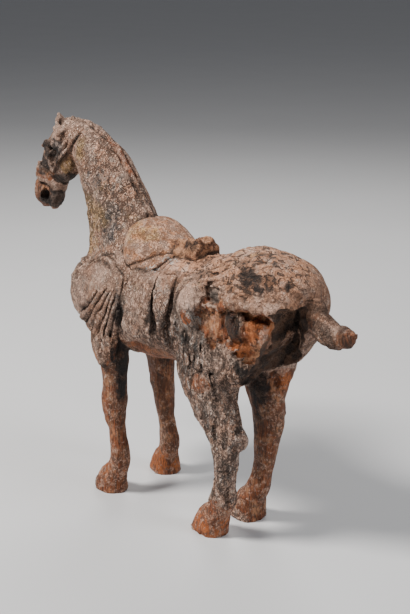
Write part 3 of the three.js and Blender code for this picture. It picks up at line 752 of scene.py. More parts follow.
    # hewn, uneven surface all over
    smooth = fade(np.minimum(body, cloth) - np.minimum(saddle, skirt), -1, 2)
    gaps = crazing(p) * (1 - 0.85 * smooth) * (1 - 0.4 * bare)
    whole = whole + gaps
    whole = whole + 6.5 * (1 - 0.55 * smooth) * (layeredNoise(p, [28, 28, 40], 81, 2) - 0.5)
    whole = whole + 2.2 * (1 - 0.7 * smooth) * (layeredNoise(p, [7, 7, 15], 84, 2) - 0.5)
    whole = np.maximum(whole, -p[:, 2])
    if not parts:
        return whole
    rest = np.minimum.reduce([body, head, tail])
    drape = np.minimum.reduce([rest, cloth, blanket, fold])
    return {"lost": lost, "gaps": fade(gaps, 0.25, 1.2), "line": line, "rot": rot, "groin": fade(-groin, -2.5, 2),
            "saddle": fade(drape - np.minimum(saddle, skirt), -0.6, 1.2),
            "cantle": fade(np.minimum(rest, saddle) - cantle, -0.6, 1.2)}


def headField(p, line):
    m = folded(p)
    head, row, angle = alongLimb(limbs["head"], p)
    # hollow temple between brow and straps
    head = head + 3.0 * ridge(np.maximum(lump(m, *headCarving["temple"]), 0), 4)
    low, high = headCarving["noseband"]
    wave = 0.09 * np.sin(angle * 0.1) + 0.12 * (noise(p, 14, 90) - 0.5)
    band = fade(row, low - 0.05 + wave, low + 0.12 + wave) * (1 - fade(row, high - 0.15 + wave, high + wave))
    twist = 3.0 * (noise(np.stack([row * 14, angle * 0.12, row * 0], 1), [4.2, 3.5, 1], 91) - 0.5)
    head = head - (headCarving["nosebandHeight"] + twist) * band
    edge = np.maximum(ridge(row - low + 0.1 - wave, 0.09), ridge(row - high - 0.07 - wave, 0.09))
    head = head + 1.8 * edge
    rim = ridge(lump(m, headCarving["eye"][0], headCarving["socket"]), 3)
    head = head + 3.0 * rim
    line = np.maximum.reduce([line, 0.8 * edge, 0.9 * rim])
    head = joined(head, lump(m, *headCarving["eye"]), 1.2)
    brow = pathDistance(folded(warped(p, 4, 8, 87)), headCarving["brow"]) - 4.6 - 1.5 * (noise(p, 6, 86) - 0.5)
    head = joined(head, brow, 1.2)
    head = joined(head, pathDistance(m, headCarving["lowerLid"]) - 2.6, 1.2)
    head = joined(head, alongLimb(limbs["lowerJaw"], p)[0], 3)
    for x, y, z, size in rowsOf(headCarving["tufts"]):
        head = joined(head, lump(warped(p, 6, 8, 93), [x, y, z], [size, size * 1.15, size * 0.75]), 1.6)
    head = joined(head, lump(p, *headCarving["forelock"]), 4)
    for ear in ("leftEar", "rightEar"):
        head = joined(head, earField(p, *headCarving[ear]), 2)
    nostril = lump(warped(m, 3, 8, 98), *headCarving["nostril"])
    head = cutBy(head - 2.4 * ridge(nostril - 2, 2.2), -nostril, 1.5)
    mouth = ridge(pathDistance(m, headCarving["mouth"]), 2.4)
    return head + 5 * mouth + 2.6 * (layeredNoise(p, 8, 97) - 0.5), np.maximum(line, mouth)


def layStraps(p, whole, line):
    m = folded(p)
    for name, share in (("strap", 1.0), ("secondStrap", 0.75)):
        reach = pathDistance(m, headCarving[name])
        whole = whole - headCarving["strapHeight"] * share * (1 - fade(reach, 1.2, headCarving["strapWidth"] + 0.8))
    away = pathDistance(m, headCarving["strapGroove"])
    groove = np.maximum(ridge(away, 2.4), 0.7 * ridge(pathDistance(m, headCarving["cheekGroove"]), 2.2))
    return whole + 4.6 * groove, np.maximum.reduce([line, groove, ridge(away, 3.4)])


# ---- from the field to a mesh

def surfaceNet(gap, step, band):
    low, high = np.array(sculpt["box"])
    count = np.ceil((high - low) / (gap * step)).astype(int) * step + 1
    axes = [low[n] + gap * np.arange(count[n]) for n in range(3)]
    rough = np.stack(np.meshgrid(*(a[::step] for a in axes), indexing="ij"), -1)
    field = carving(rough.reshape(-1, 3)).reshape(rough.shape[:3]).astype(np.float32)
    print("rough samples", field.size)

    for axis in range(3):  # spreads the rough samples over the fine grid
        places = np.arange(count[axis]) / step
        i = np.minimum(places.astype(int), field.shape[axis] - 2)
        f = (places - i).astype(np.float32).reshape([-1 if a == axis else 1 for a in range(3)])
        field = np.take(field, i, axis) * (1 - f) + np.take(field, i + 1, axis) * f
    close = np.argwhere(np.abs(field) < band)
    print("fine samples", len(close))
    for start in range(0, len(close), samplesAtOnce):
        part = close[start:start + samplesAtOnce].T
        field[tuple(part)] = carving(np.stack([axes[n][part[n]] for n in range(3)], 1))

    solid = field < 0
    corners = [(a, b, c) for a in (0, 1) for b in (0, 1) for c in (0, 1)]
    x, y, z = field.shape
    total = sum(solid[a:x - 1 + a, b:y - 1 + b, c:z - 1 + c].astype(np.int8) for a, b, c in corners)
    cells = np.argwhere((total > 0) & (total < 8))
    number = np.full(total.shape, -1, np.int32)
    number[tuple(cells.T)] = np.arange(len(cells))

    sums, hits = np.zeros((len(cells), 3)), np.zeros(len(cells))
    for first in corners:
        for axis in range(3):
            if first[axis]:
                continue
            ahead = np.eye(3, dtype=int)[axis]
            a, b = field[tuple((cells + first).T)], field[tuple((cells + first + ahead).T)]
            crossed = (a < 0) != (b < 0)
            share = np.where(crossed, a / np.where(crossed, a - b, 1), 0)
            sums += (first + ahead * share[:, None]) * crossed[:, None]
            hits += crossed
    points = low + gap * (cells + sums / hits[:, None])

    quads = []
    for axis in range(3):
        a, b = [k for k in range(3) if k != axis]
        near, far = [slice(1, -1)] * 3, [slice(1, -1)] * 3
        near[axis], far[axis] = slice(0, -1), slice(1, None)
        here, there = solid[tuple(near)], solid[tuple(far)]
        for leaving in (True, False):
            spots = np.argwhere((here == leaving) & (there != leaving))
            spots += [0 if k == axis else 1 for k in range(3)]
            ring = []
            for da, db in ((-1, -1), (0, -1), (0, 0), (-1, 0)):
                q = spots.copy()
                q[:, a] += da
                q[:, b] += db
                ring.append(number[tuple(q.T)])
            quads.append(np.stack(ring if leaving == (axis != 1) else ring[::-1], 1))
    quads = np.concatenate(quads)
    return points, quads[(quads >= 0).all(1)]


def meshFrom(name, points, faces):
    mesh = bpy.data.meshes.new(name)
    mesh.vertices.add(len(points))
    mesh.vertices.foreach_set("co", np.float32(points).ravel())
    mesh.loops.add(faces.size)
    mesh.loops.foreach_set("vertex_index", faces.astype(np.int32).ravel())
    mesh.polygons.add(len(faces))
    mesh.polygons.foreach_set("loop_start", np.arange(len(faces), dtype=np.int32) * faces.shape[1])
    mesh.update(calc_edges=True)
    return mesh


points, quads = surfaceNet(sculpt["gap"], sculpt["coarseStep"], sculpt["band"])
print("surface", len(points), "points", len(quads), "quads")
horse = bpy.data.objects.new("carvedHorse", meshFrom("carvedHorse", (points + drawingShift) * millimetre, quads))
bpy.context.scene.collection.objects.link(horse)

share = sculpt["mostTriangles"] / (2 * len(quads))
if share < 1:
    thinning = horse.modifiers.new("thinning", "DECIMATE")
    thinning.ratio = share
    bpy.context.view_layer.update()
    thinned = bpy.data.meshes.new_from_object(horse.evaluated_get(bpy.context.evaluated_depsgraph_get()))
    horse.modifiers.clear()
    horse.data = thinned
mesh = horse.data
mesh.validate()
mesh.shade_smooth()
print("mesh", len(mesh.vertices), "points", len(mesh.polygons), "faces")

bodyName = "root" if "root" in frame["bodies"] else list(frame["bodies"])[0]
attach(horse, bodyName)
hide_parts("horse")


# ---- masks kept on the mesh, read by the material

daubs = {  # middle, reach, amount
    "smooth": """
        60 -105 340 50 60 60 0.35, 20 -270 520 40 60 60 0.45, 76 88 346 18 26 30 0.15, 75 126 379 14 16 14 1.4""",
    "hole": "60 127 377 9 12 12 1.6",
    "lying": "20 130 415 90 130 45 1.8, 10 200 385 80 80 50 1.2, 60 90 375 20 40 26 0.6",
    "strands": """
        72 66 300 22 36 60 1, 72 100 300 22 22 50 0.9, 66 60 250 26 40 40 0.8, 50 120 160 34 60 90 0.7,
        75 38 330 14 20 50 0.6, 78 -20 330 14 30 50 0.35""",
    # brown soil, and painted shade on the belly, the chest under the hem, under the tail and the legs' shaded sides
    "soilAndShade": """
        24 -285 515 20 34 44 0.9, 10 -270 470 30 40 24 0.7, 12 -305 445 24 34 26 0.85,
        20 -210 310 50 30 40 0.55, 40 -75 200 24 24 90 0.8, 0 -20 250 70 80 20 0.75, 60 70 250 20 40 40 0.35,
        0 290 350 30 70 40 0.55, -50 -100 150 40 50 120 0.75, -30 140 190 30 60 120 0.3,
        60 -150 290 30 50 24 0.4, 20 30 425 30 30 12 0.4, 27 -247 554 12 16 16 0.7, 14 -312 452 16 20 16 0.8,
        -18 138 180 16 18 90 0.6, 12 -317 452 14 12 24 1, 4 -322 478 20 14 22 1, 6 -290 445 18 16 18 1""",
    # pink paint, and painted highlights on edges, the ledge's top, the noseband and the right hind leg's outer side
    "roseAndHighlight": """
        74 124 345 12 14 30 0.75, 58 205 379 20 40 12 0.7, 50 140 405 40 60 20 0.5, 82 90 368 20 26 22 1.3,
        2 -155 500 12 60 70 0.75, 54 60 391 20 20 12 0.6, 56 235 380 9 10 8 0.9, 52 224 356 9 12 16 0.9,
        54 212 330 7 8 24 1.1, 72 136 280 10 11 11 0.9, 76 100 368 16 20 22 1, -20 180 260 14 12 12 1.8,
        78 -15 335 16 34 44 0.9, 30 -250 552 9 10 10 0.9, 25 -235 536 6 40 40 0.6, 18 -241 571 14 14 6 0.9,
        20 -308 480 8 12 8 0.8, 11 -290 454 6 8 8 0.7, 29 -288 540 6 10 5 0.6, 64 140 190 14 24 50 0.6,
        72 118 325 16 22 40 0.6, 80 -60 330 14 40 40 0.4, 64 -162 362 12 12 12 0.9, 66 106 120 14 30 60 0.4,
        17 -251 506 8 9 10 0.5""",
    # pale paint; the spot on the right hind leg's outer side is a painted highlight
    "pale": """
        78 90 350 24 32 40 2.2, 62 140 388 16 34 14 0.8, 60 200 384 20 40 12 0.9, 20 130 430 60 80 24 0.5,
        20 -240 575 30 40 10 0.5, 60 -60 350 40 60 50 0.4, 50 -60 430 40 60 40 0.4, 60 -190 350 20 20 30 0.7,
        -30 183 262 14 14 12 1, 66 122 230 10 14 40 0.6, 72 125 285 12 26 26 0.7, 58 140 140 14 14 60 0.6""",
    "ochre": """
        40 -50 440 30 46 30 0.55, 36 -150 440 16 26 34 0.75, 30 -190 440 26 26 44 0.8,
        24 -175 400 34 34 40 0.75, 18 -250 503 13 14 15 1, 29 -199 536 10 16 18 0.75, 8 -222 470 22 16 46 0.5,
        34 -144 491 12 16 14 0.5, 38 -135 445 12 18 30 0.6, 33 -168 456 12 16 26 0.8, 60 90 380 16 40 30 0.35,
        50 -60 430 30 40 24 0.5, 75 -20 340 14 30 40 0.35, 20 130 430 60 60 20 0.35""",
    "grey": """
        34 -120 430 26 24 60 0.9, 30 -155 490 20 34 44 0.6, 56 -150 310 30 40 50 0.7, 70 100 280 20 50 36 0.25,
        50 120 150 30 40 80 0.55, 27 -258 533 9 14 18 1.5, 22 -281 509 9 12 15 1.5, 20 190 430 50 40 20 0.4,
        75 -60 320 12 12 44 1""",
    # white flakes; the spot on the right hind leg's outer side is a painted highlight
    "white": """
        56 -8 389 16 28 9 0.85, 40 12 402 18 18 9 0.85, 80 98 350 12 14 18 1.1, 71 111 318 9 6 26 0.95,
        70 106 342 10 9 14 0.9, 66 110 392 14 12 8 0.5, 4 -245 574 26 16 10 0.4, 70 100 235 14 14 16 0.3,
        -28 182 262 8 8 8 0.6, 54 90 398 16 40 12 0.35, 60 60 392 14 30 8 0.45""",
    # black paint on the face and jaw, and painted shade on the legs' shaded sides, behind the cloth's tongue, below
    # the chest cloth's hem and in the pocket between the hind legs
    "blackPaintAndShade": """
        8 -322 450 14 9 22 0.7, 26 -256 553 8 5 12 0.7, 30 -245 548 8 5 14 0.55, 52 -80 215 18 12 58 1.3,
        76 -79 240 10 9 26 0.9, 79 -100 217 10 12 7 0.8, 6 -288 441 14 14 15 1.7, 7 -258 479 14 26 12 1.5,
        13 -315 441 10 8 10 1.2, 29 -283 532 10 16 15 1.2, 27 -264 525 9 12 18 0.85, 26 -240 562 6 8 6 0.6,
        18 -306 500 11 13 17 1.5, 22 -262 546 10 16 9 0.62, -42 -80 222 26 26 60 0.8, 25 -292 518 7 7 8 0.9,
        16 -312 491 8 8 8 0.8, 14 -277 481 10 9 5 1.4, 12 -257 482 10 14 6 1.1, 0 -262 474 14 20 10 1,
        29 -284 530 8 6 5 1.2, 26 -274 547 8 14 5 0.8, 30 -266 536 5 7 5 0.7, 2 -287 440 12 12 14 1.3,
        13 -299 436 6 5 8 1.3, 12 -312 444 10 11 10 1.8, 54 184 412 16 24 14 1, 60 206 400 10 12 9 0.85,
        33 238 404 9 9 8 0.7, 78 12 318 9 8 44 0.9, 74 76 300 10 14 18 0.8, 74 96 285 12 14 20 0.6,
        63 176 278 12 10 14 0.9, 20 35 424 26 28 12 0.6, 73 -62 300 9 9 30 1.1, -30 150 290 30 50 36 0.7,
        -12 138 232 14 24 44 1.15, -16 134 170 10 18 50 0.6, 76 82 298 10 12 14 1, 86 -152 318 14 12 26 0.4,
        34 -190 520 10 18 24 0.4, 20 -205 315 40 20 26 0.6, 36 -84 240 14 14 50 0.8""",
    "knot": "72 166 343 22 14 18 2.2",
    "orange": """
        86 86 340 14 18 20 1.1, 66 175 308 20 20 16 1, 56 197 338 16 16 22 0.8, 78 128 345 20 12 24 0.5,
        80 105 245 20 20 18 0.8, 14 -290 474 14 16 9 0.65, 60 -40 262 20 40 12 0.5, 60 212 345 20 18 26 0.9,
        -30 180 240 16 14 20 0.9, 50 -125 60 30 40 100 0.7, 50 -125 190 20 20 50 0.7, -50 -110 20 50 50 30 0.7,
        44 100 20 50 50 30 0.8, 0 -40 250 60 60 24 0.8, 8 -215 440 18 12 60 0.5""",
}


def maskValues(places, normals):
    masks = carving(places, True)
    near, wide = (carving(places + normals * away) / away for away in (5, 14))
    # how closed in each place is; the material uses it to paint shade into hollows
    masks["cavity"] = np.clip(1 - near, 0, 1) * 0.6 + np.clip(1 - wide, 0, 1) * 0.6
    masks["rubbed"] = np.clip(1 + carving(places - normals * 4) / 4, 0, 1)
    for name, spots in daubs.items():
        total = np.zeros(len(places), np.float32)
        for middle, reach, amount in spotsOf(spots):
            total = np.maximum(total, amount * np.exp(-0.9 * offCentre(places, middle, reach)))
        masks[name] = np.minimum(total, 1)
    masks["cavity"] = masks["cavity"] * (1 - 0.75 * masks["hole"]) * (1 - 0.6 * masks["rot"])
    masks["smooth"] = np.maximum(masks["smooth"], 0.85 * masks["saddle"])
    masks["lying"] = masks["lying"] * (1 - masks["smooth"])
    return masks


def vertexValues(name):  # one triple for each point of the mesh
    values = np.zeros((len(mesh.vertices), 3), np.float32)
    mesh.vertices.foreach_get(name, values.ravel())
    return values


places = vertexValues("co") / millimetre - drawingShift
normals = vertexValues("normal")
sole = (places[:, 2] < 1.2) & (normals[:, 2] < -0.5)
places[sole, 2] = 0
mesh.vertices.foreach_set("co", np.float32((places + drawingShift) * millimetre).ravel())
for name, values in maskValues(places.astype(np.float32), normals).items():
    layer = mesh.attributes.new(name, "FLOAT", "POINT")
    layer.data.foreach_set("value", np.asarray(values, np.float32))
mesh.update()
print("masks written")


# ---- materials

def shade(hexCode):  # a colour as written in paint programs
    parts = [int(hexCode[n:n + 2], 16) / 255 for n in (0, 2, 4)]
    return (*[v / 12.92 if v < 0.04045 else ((v + 0.055) / 1.055) ** 2.4 for v in parts], 1)


def toolsFor(tree):  # short ways to add nodes to one tree and link them
    def feed(socket, value):  # links an output to the socket, or sets its value
        if isinstance(value, bpy.types.NodeSocket):
            tree.links.new(value, socket)
        else:
            socket.default_value = value

    def node(kind, inputs, **settings):
        made = tree.nodes.new("ShaderNode" + kind)
        for key, value in settings.items():
            setattr(made, key, value)
        for key, value in inputs.items():
            feed(made.inputs[key], value)
        return made

    def maths(operation, a, b=0.0):
        return node("Math", {0: a, 1: b}, operation=operation).outputs[0]

    def vectors(operation, inputs):
        return node("VectorMath", inputs, operation=operation).outputs[0]

    def mixed(share, a, b):
        return node("Mix", {0: share, 6: a, 7: b}, data_type="RGBA").outputs[2]

    def ranged(value, low, high, toLow=0.0, toHigh=1.0, curve="SMOOTHSTEP"):
        made = node("MapRange", {0: value, 1: low, 2: high, 3: toLow, 4: toHigh}, interpolation_type=curve)
        return made.outputs[0]

    def cloud(where, scale, detail, roughness=0.5):
        return node("TexNoise", {"Vector": where, "Scale": scale, "Detail": detail, "Roughness": roughness}).outputs

    def shifted(where, scale, amount):  # the place pushed about by noise
        centred = vectors("SUBTRACT", {0: cloud(where, scale, 2.0)["Color"], 1: (0.5, 0.5, 0.5)})
        return vectors("ADD", {0: where, 1: vectors("SCALE", {0: centred, "Scale": amount})})

    return SimpleNamespace(feed=feed, node=node, maths=maths, vectors=vectors, mixed=mixed, ranged=ranged,
                           cloud=cloud, shifted=shifted)


def newGroup(name, inputs, outputs):  # inputs with their first values; a place or a stretch has three
    tree = bpy.data.node_groups.new(name, "ShaderNodeTree")
    for title, value in inputs.items():
        kind = "NodeSocketVector" if isinstance(value, tuple) else "NodeSocketFloat"
        tree.interface.new_socket(title, in_out="INPUT", socket_type=kind).default_value = value
    for title in outputs:
        tree.interface.new_socket(title, in_out="OUTPUT", socket_type="NodeSocketFloat")
    given, result = tree.nodes.new("NodeGroupInput").outputs, tree.nodes.new("NodeGroupOutput").inputs
    return tree, toolsFor(tree), given, result


def makeCraze():  # dark gaps between the small plates of old paint, wide and narrow by turns
    tree, t, given, result = newGroup("craze", {
        "Place": (0, 0, 0), "Stretch": (1, 1, 1), "Size": 160.0, "Width": 0.12, "Wander": 0.006},
        ["Lines", "Height", "Plate"])
    where = t.vectors("MULTIPLY", {0: t.shifted(given["Place"], 170.0, given["Wander"]), 1: given["Stretch"]})
    plates = {"Vector": where, "Scale": given["Size"]}
    edge = t.node("TexVoronoi", plates, feature="DISTANCE_TO_EDGE").outputs["Distance"]
    uneven = t.ranged(t.cloud(given["Place"], 100.0, 2.0)[0], 0.38, 0.62, 0.35, 1.4)
    share = t.maths("DIVIDE", edge, t.maths("MULTIPLY", given["Width"], uneven))
    t.feed(result["Lines"], t.ranged(share, 0.6, 1.4, 1.0, 0.0))
    t.feed(result["Height"], t.ranged(share, 0.3, 3.0))
    t.feed(result["Plate"], t.node("SeparateXYZ", {0: t.node("TexVoronoi", plates).outputs["Color"]}).outputs[0])
    return tree


def makeWinding():  # long winding cracks
    tree, t, given, result = newGroup("windingCracks", {
        "Place": (0, 0, 0), "Stretch": (1, 1, 1), "Size": 75.0, "Turns": 9.0, "Width": 0.3, "Wander": 0.004},
        ["Lines", "Ridges"])
    where = t.vectors("MULTIPLY", {0: t.shifted(given["Place"], 120.0, given["Wander"]), 1: given["Stretch"]})
    steps = t.maths("FRACT", t.maths("MULTIPLY", t.cloud(where, given["Size"], 1.0)[0], given["Turns"]))
    fromLine = t.maths("MULTIPLY", t.maths("ABSOLUTE", t.maths("SUBTRACT", steps, 0.5)), 2.0)
    uneven = t.ranged(t.cloud(given["Place"], 90.0, 1.0)[0], 0.35, 0.65, 0.3, 1.6)
    share = t.maths("DIVIDE", fromLine, t.maths("MULTIPLY", given["Width"], uneven))
    t.feed(result["Lines"], t.ranged(share, 0.45, 1.1, 1.0, 0.0))
    near, far = (t.maths("MULTIPLY", given["Width"], times) for times in (1.1, 2.2))
    t.feed(result["Ridges"], t.ranged(fromLine, near, far))
    return tree


def makeGrain():  # long fibres of bare wood
    tree, t, given, result = newGroup("woodGrain", {
        "Place": (0, 0, 0), "Stretch": (1, 1, 0.08), "Size": 320.0}, ["Streaks", "Pores"])
    where = t.vectors("MULTIPLY", {0: t.shifted(given["Place"], 18.0, 0.012), 1: given["Stretch"]})
    pores = t.cloud(where, t.maths("MULTIPLY", given["Size"], 2.2), 1.0)[0]
    t.feed(result["Streaks"], t.ranged(t.cloud(where, given["Size"], 4.0, 0.65)[0], 0.34, 0.66))
    t.feed(result["Pores"], t.ranged(pores, 0.52, 0.62))
    return tree


def makeBlotch():  # patches with a ragged edge; Level 0 gives none, 1 covers all
    tree, t, given, result = newGroup("blotch", {
        "Place": (0, 0, 0), "Size": 40.0, "Level": 0.5, "Softness": 0.06, "Detail": 5.0}, ["Mask"])
    patches = t.cloud(given["Place"], given["Size"], given["Detail"], 0.62)[0]
    over = t.maths("SUBTRACT", patches, t.ranged(given["Level"], 0.0, 1.0, 0.80, 0.20, "LINEAR"))
    t.feed(result["Mask"], t.ranged(t.maths("DIVIDE", over, given["Softness"]), -0.5, 0.5))
    return tree


craze, windingCracks, woodGrain, blotch = makeCraze(), makeWinding(), makeGrain(), makeBlotch()

finish = {
    "pink": "d8af99", "tan": "c99679", "paleTan": "edcdb8", "greyPink": "b59e90", "warmTan": "c68a64",
    "slate": "686768", "ash": "75685f", "ochre": "c69e62", "chalk": "f3ebe4", "gap": "241d1a",
    "blackAndShade": "1f1c1b", "soilAndShade": "5c4130", "roseAndHighlight": "dfb6a0", "wood": "a55e38", "woodDark": "4f2d1c",
    "woodLight": "c48e68", "rust": "bd6730", "dirtAndShade": "2b211b",
}


def newMaterial(name):
    material = bpy.data.materials.new(name)
    material.use_nodes = True
    return material, toolsFor(material.node_tree), material.node_tree.nodes["Principled BSDF"].inputs


def paintedWood():
    material, t, surface = newMaterial("paintedWood")
    here = t.node("TexCoord", {}).outputs["Object"]
    broad, middling = t.cloud(here, 16.0, 4.0, 0.6)[0], t.cloud(here, 60.0, 4.0, 0.6)[0]
    fine = t.cloud(here, 330.0, 3.0, 0.7)[0]

    def mask(name):
        return t.node("Attribute", {}, attribute_name=name, attribute_type="GEOMETRY").outputs["Fac"]

    def times(a, b):
        return t.maths("MULTIPLY", a, b)

    def most(a, b):
        return t.maths("MAXIMUM", a, b)

    def rest(a):
        return t.maths("SUBTRACT", 1.0, a)

    def swayed(value, by, middle, amount):  # a value moved up and down by another round its middle
        return t.maths("ADD", value, times(t.maths("SUBTRACT", by, middle), amount))

    def cracks(group, stretch, size, width, wander, **more):
        return t.node("Group", {"Place": here, "Stretch": stretch, "Size": size, "Width": width, "Wander": wander,
                              **more}, node_tree=group).outputs

    def patches(size, level, softness, where=here, detail=5.0):
        return t.node("Group", {"Place": where, "Size": size, "Level": level, "Softness": softness,
                              "Detail": detail}, node_tree=blotch).outputs[0]

    def blend(share, first, second):
        return t.mixed(share, shade(finish[first]), shade(finish[second]))

    def coated(colour, *coats):  # colours of the finish laid on one after the other
        for share, name in coats:
            colour = t.mixed(share, colour, shade(finish[name]))
        return colour

    # dark lines: a net of plates on most of the skin, long cracks on the back, upright ones on the thigh
    saddle, lying, strands, rotted = mask("saddle"), mask("lying"), mask("strands"), mask("rot")
    upright = cracks(craze, (1, 1, 0.65), 205.0, 0.1, 0.011)
    worms = cracks(windingCracks, (1, 1, 0.75), 245.0, 0.22, 0.008, Turns=1.0)
    back = cracks(windingCracks, (1, 0.55, 1.1), 62.0, 0.38, 0.012, Turns=5.0)
    thigh = cracks(windingCracks, (1, 1, 0.28), 85.0, 0.34, 0.008, Turns=5.0)
    dense = times(t.ranged(broad, 0.3, 0.5, 0.55, 0.95), times(rest(mask("smooth")), rest(times(lying, 0.62))))
    gaps = most(times(times(upright["Lines"], dense), 0.4), times(back["Lines"], lying))
    for more in (times(worms["Lines"], most(dense, times(saddle, 0.65))),
                 times(thigh["Lines"], strands),
                 times(times(t.ranged(fine, 0.58, 0.66), 0.5), t.ranged(middling, 0.42, 0.6)),
                 times(patches(210.0, 0.28, 0.05, detail=3.0), 0.75)):
        gaps = most(gaps, more)
    plateShade = t.maths("ADD", times(upright["Plate"], 0.5), times(middling, 0.9))
    greyness = swayed(mask("grey"), plateShade, 0.7, 1.4)
    # ridges between the winding cracks, lightened: pale paint and painted highlight
    ridges = times(times(worms["Ridges"], dense), t.ranged(broad, 0.35, 0.6, 0.5, 0.95))
    streaks = times(times(thigh["Ridges"], strands), t.ranged(middling, 0.42, 0.6, 0.15, 0.9))
    crustColour = coated(
        blend(t.ranged(broad, 0.38, 0.6), "pink", "tan"),
        (t.ranged(plateShade, 0.7, 1.05, 0, 0.9), "paleTan"),
        (times(mask("pale"), 0.75), "paleTan"),
        (times(t.ranged(patches(48.0, 0.55, 0.12), 0, 1, 0.35), most(saddle, times(lying, 0.8))), "warmTan"),
        (times(patches(85.0, times(saddle, 0.5), 0.1), 0.35), "paleTan"),
        (times(patches(130.0, times(saddle, 0.45), 0.12), 0.3), "soilAndShade"),
        (t.ranged(greyness, 0.25, 0.9, 0, 0.8), "greyPink"),
        (times(patches(55.0, mask("ochre"), 0.3), 0.7), "ochre"),
        (times(patches(75.0, times(mask("grey"), 0.62), 0.14), 0.75), "slate"),
        (ridges, "paleTan"),
        (streaks, "chalk"),
        (times(patches(210.0, times(mask("white"), 0.62), 0.1), 0.8), "chalk"),
        (times(gaps, 0.86), "gap"))

    # bare wood, fresh or rotted, with remains of the crust
    grain = t.node("Group", {"Place": here, "Stretch": (1, 1, 0.1), "Size": 260.0}, node_tree=woodGrain).outputs
    orange = patches(60.0, mask("orange"), 0.2)
    woodColour = coated(
        blend(grain["Streaks"], "woodDark", "wood"),
        (t.ranged(middling, 0.45, 0.66, 0, 0.8), "woodLight"),
        (times(orange, 0.75), "rust"),
        (times(grain["Pores"], 0.75), "woodDark"))
    remains = patches(150.0, t.ranged(broad, 0.35, 0.65, 0.3, 0.62), 0.1)
    woodColour = t.mixed(times(remains, t.ranged(rotted, 0.2, 0.8, 0.7, 0.25)), woodColour, crustColour)
    lost = t.ranged(swayed(mask("lost"), fine, 0.5, 0.3), 0.46, 0.54)
    rotColour = coated(
        blend(patches(110.0, 0.5, 0.2), "wood", "woodLight"),
        (times(orange, 0.7), "rust"),
        (times(patches(95.0, 0.4, 0.12, t.shifted(here, 40.0, 0.02)), 0.85), "dirtAndShade"))
    woodColour = t.mixed(times(times(rotted, lost), 0.85), woodColour, rotColour)

    # what lies over crust and wood alike, with painted shade and painted highlights
    # soil, and painted shade where the soil daubs lie in shade
    soiledAndShaded = times(mask("soilAndShade"), t.ranged(middling, 0.35, 0.62, 1.0, 0.35))
    # the rose coat is pink paint and painted highlight
    colour = coated(
        t.mixed(lost, crustColour, woodColour),
        (times(times(patches(105.0, times(mask("roseAndHighlight"), 0.8), 0.2), 0.75), rest(times(gaps, 0.8))), "roseAndHighlight"),
        (soiledAndShaded, "soilAndShade"))
    # painted shade: the pocket between the hind legs, under the tail, is darkened towards black-brown
    shadowed = t.ranged(swayed(mask("groin"), middling, 0.5, 0.6), 0.2, 0.42, 0.0, 0.93)
    colour = t.mixed(shadowed, colour, blend(t.ranged(middling, 0.4, 0.62), "dirtAndShade", "soilAndShade"))
    colour = coated(colour, (mask("hole"), "ash"))
    cantle = blend(t.ranged(middling, 0.4, 0.6), "woodDark", "woodLight")
    colour = t.mixed(times(mask("cantle"), 0.7), colour, cantle)
    # black paint and painted shade, from the black daubs
    darkPaintAndShade = times(patches(80.0, mask("blackPaintAndShade"), 0.24), t.ranged(middling, 0.4, 0.62, 0.95, 0.72))
    knot = times(times(mask("knot"), rotted), t.ranged(fine, 0.35, 0.65, 0.97, 0.8))
    # dark paint and dirt along grooves and cracks, and painted shade in hollows from the cavity mask
    deep = most(times(mask("line"), 0.95), t.ranged(mask("gaps"), 0.3, 1.0, 0, 0.6))
    deep = most(times(deep, t.ranged(fine, 0.3, 0.55, 0.6, 1.0)), times(t.ranged(mask("cavity"), 0.3, 0.9), 0.85))
    rubbed = times(t.ranged(mask("rubbed"), 0.62, 0.95), times(rest(most(darkPaintAndShade, soiledAndShaded)), 0.35))
    colour = coated(colour, (most(darkPaintAndShade, knot), "blackAndShade"), (deep, "dirtAndShade"), (rubbed, "paleTan"))
    t.feed(surface["Base Color"], colour)
    t.feed(surface["Roughness"], t.ranged(lost, 0, 1, 0.86, 0.62))
    t.feed(surface["Specular IOR Level"], 0.35)

    height = t.maths("SUBTRACT", times(ridges, 0.5), times(times(gaps, rest(lost)), 1.3))
    for part in (times(times(upright["Height"], dense), rest(lost)), times(lost, -0.8), times(middling, 1.5),
                 times(fine, 0.8), times(times(grain["Streaks"], lost), 0.8)):
        height = t.maths("ADD", height, part)
    bump = t.node("Bump", {"Height": height, "Distance": 0.0026, "Strength": 1.0})
    t.feed(surface["Normal"], bump.outputs[0])
    return material


horse.data.materials.append(paintedWood())
print("material made")


# ---- floor, light and camera

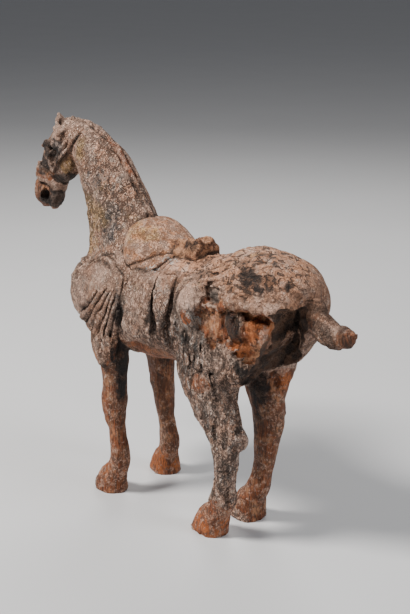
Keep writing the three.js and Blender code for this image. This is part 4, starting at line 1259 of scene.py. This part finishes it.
studio = {
    "floor": "cfcfd0", "floorClouds": "b8b8ba", "floorHalf": 40, "world": "b9bbc0", "worldStrength": 0.3,
    # name: place, aimed at, width, power, warmth
    "lamps": {
        "keyLamp": [(1.5, -1.0, 2.6), (0, 0, 0.3), 0.8, 145, (1.0, 0.97, 0.93)],
        "fillLamp": [(-0.5, 2.4, 2.0), (0, 0, 0.3), 1.2, 37, (0.94, 0.97, 1.0)],
        "backLamp": [(-1.6, -1.2, 2.1), (0, 0, 0.35), 1.2, 30, (1.0, 0.98, 0.95)],
    },
}


def paintFloor():
    material, t, surface = newMaterial("paleFloor")
    clouds = t.ranged(t.cloud(t.node("TexCoord", {}).outputs["Object"], 3.0, 2.0)[0], 0.3, 0.7, 0, 0.08)
    t.feed(surface["Base Color"], t.mixed(clouds, shade(studio["floor"]), shade(studio["floorClouds"])))
    t.feed(surface["Roughness"], 0.7)
    return material


def stood(name, data, spot=(0, 0, 0), back=None):  # puts a thing in the scene, turned away from a direction
    thing = bpy.data.objects.new(name, data)
    thing.location = spot
    if back:
        thing.rotation_euler = back.to_track_quat("Z", "Y").to_euler()
    bpy.context.scene.collection.objects.link(thing)
    return thing


floorMesh = bpy.data.meshes.new("studioFloor")
half = studio["floorHalf"]
floorMesh.from_pydata([(-half, -half, 0), (half, -half, 0), (half, half, 0), (-half, half, 0)], [], [(0, 1, 2, 3)])
floorMesh.materials.append(paintFloor())
floor = stood("studioFloor", floorMesh)

world = bpy.data.worlds.new("studioAir")
world.use_nodes = True
background = world.node_tree.nodes["Background"].inputs
background[0].default_value = shade(studio["world"])
background[1].default_value = studio["worldStrength"]
bpy.context.scene.world = world

for name, (spot, aim, width, power, tint) in studio["lamps"].items():
    lamp = bpy.data.lights.new(name, "AREA")
    lamp.shape, lamp.size, lamp.energy, lamp.color = "DISK", width, power, tint
    stood(name, lamp, spot, Vector(spot) - Vector(aim))

view = {"place": (1.251, 1.305, 0.870), "azimuth": 135.0, "down": 17.0, "lens": 73.3}
camera = bpy.data.cameras.new("photoCamera")
camera.sensor_fit, camera.sensor_height, camera.lens = "VERTICAL", 36, view["lens"]
turn, down = math.radians(view["azimuth"]), math.radians(view["down"])
back = Vector((math.sin(turn) * math.cos(down), -math.cos(turn) * math.cos(down), math.sin(down)))
bpy.context.scene.camera = stood("photoCamera", camera, view["place"], back)
print("studio set")
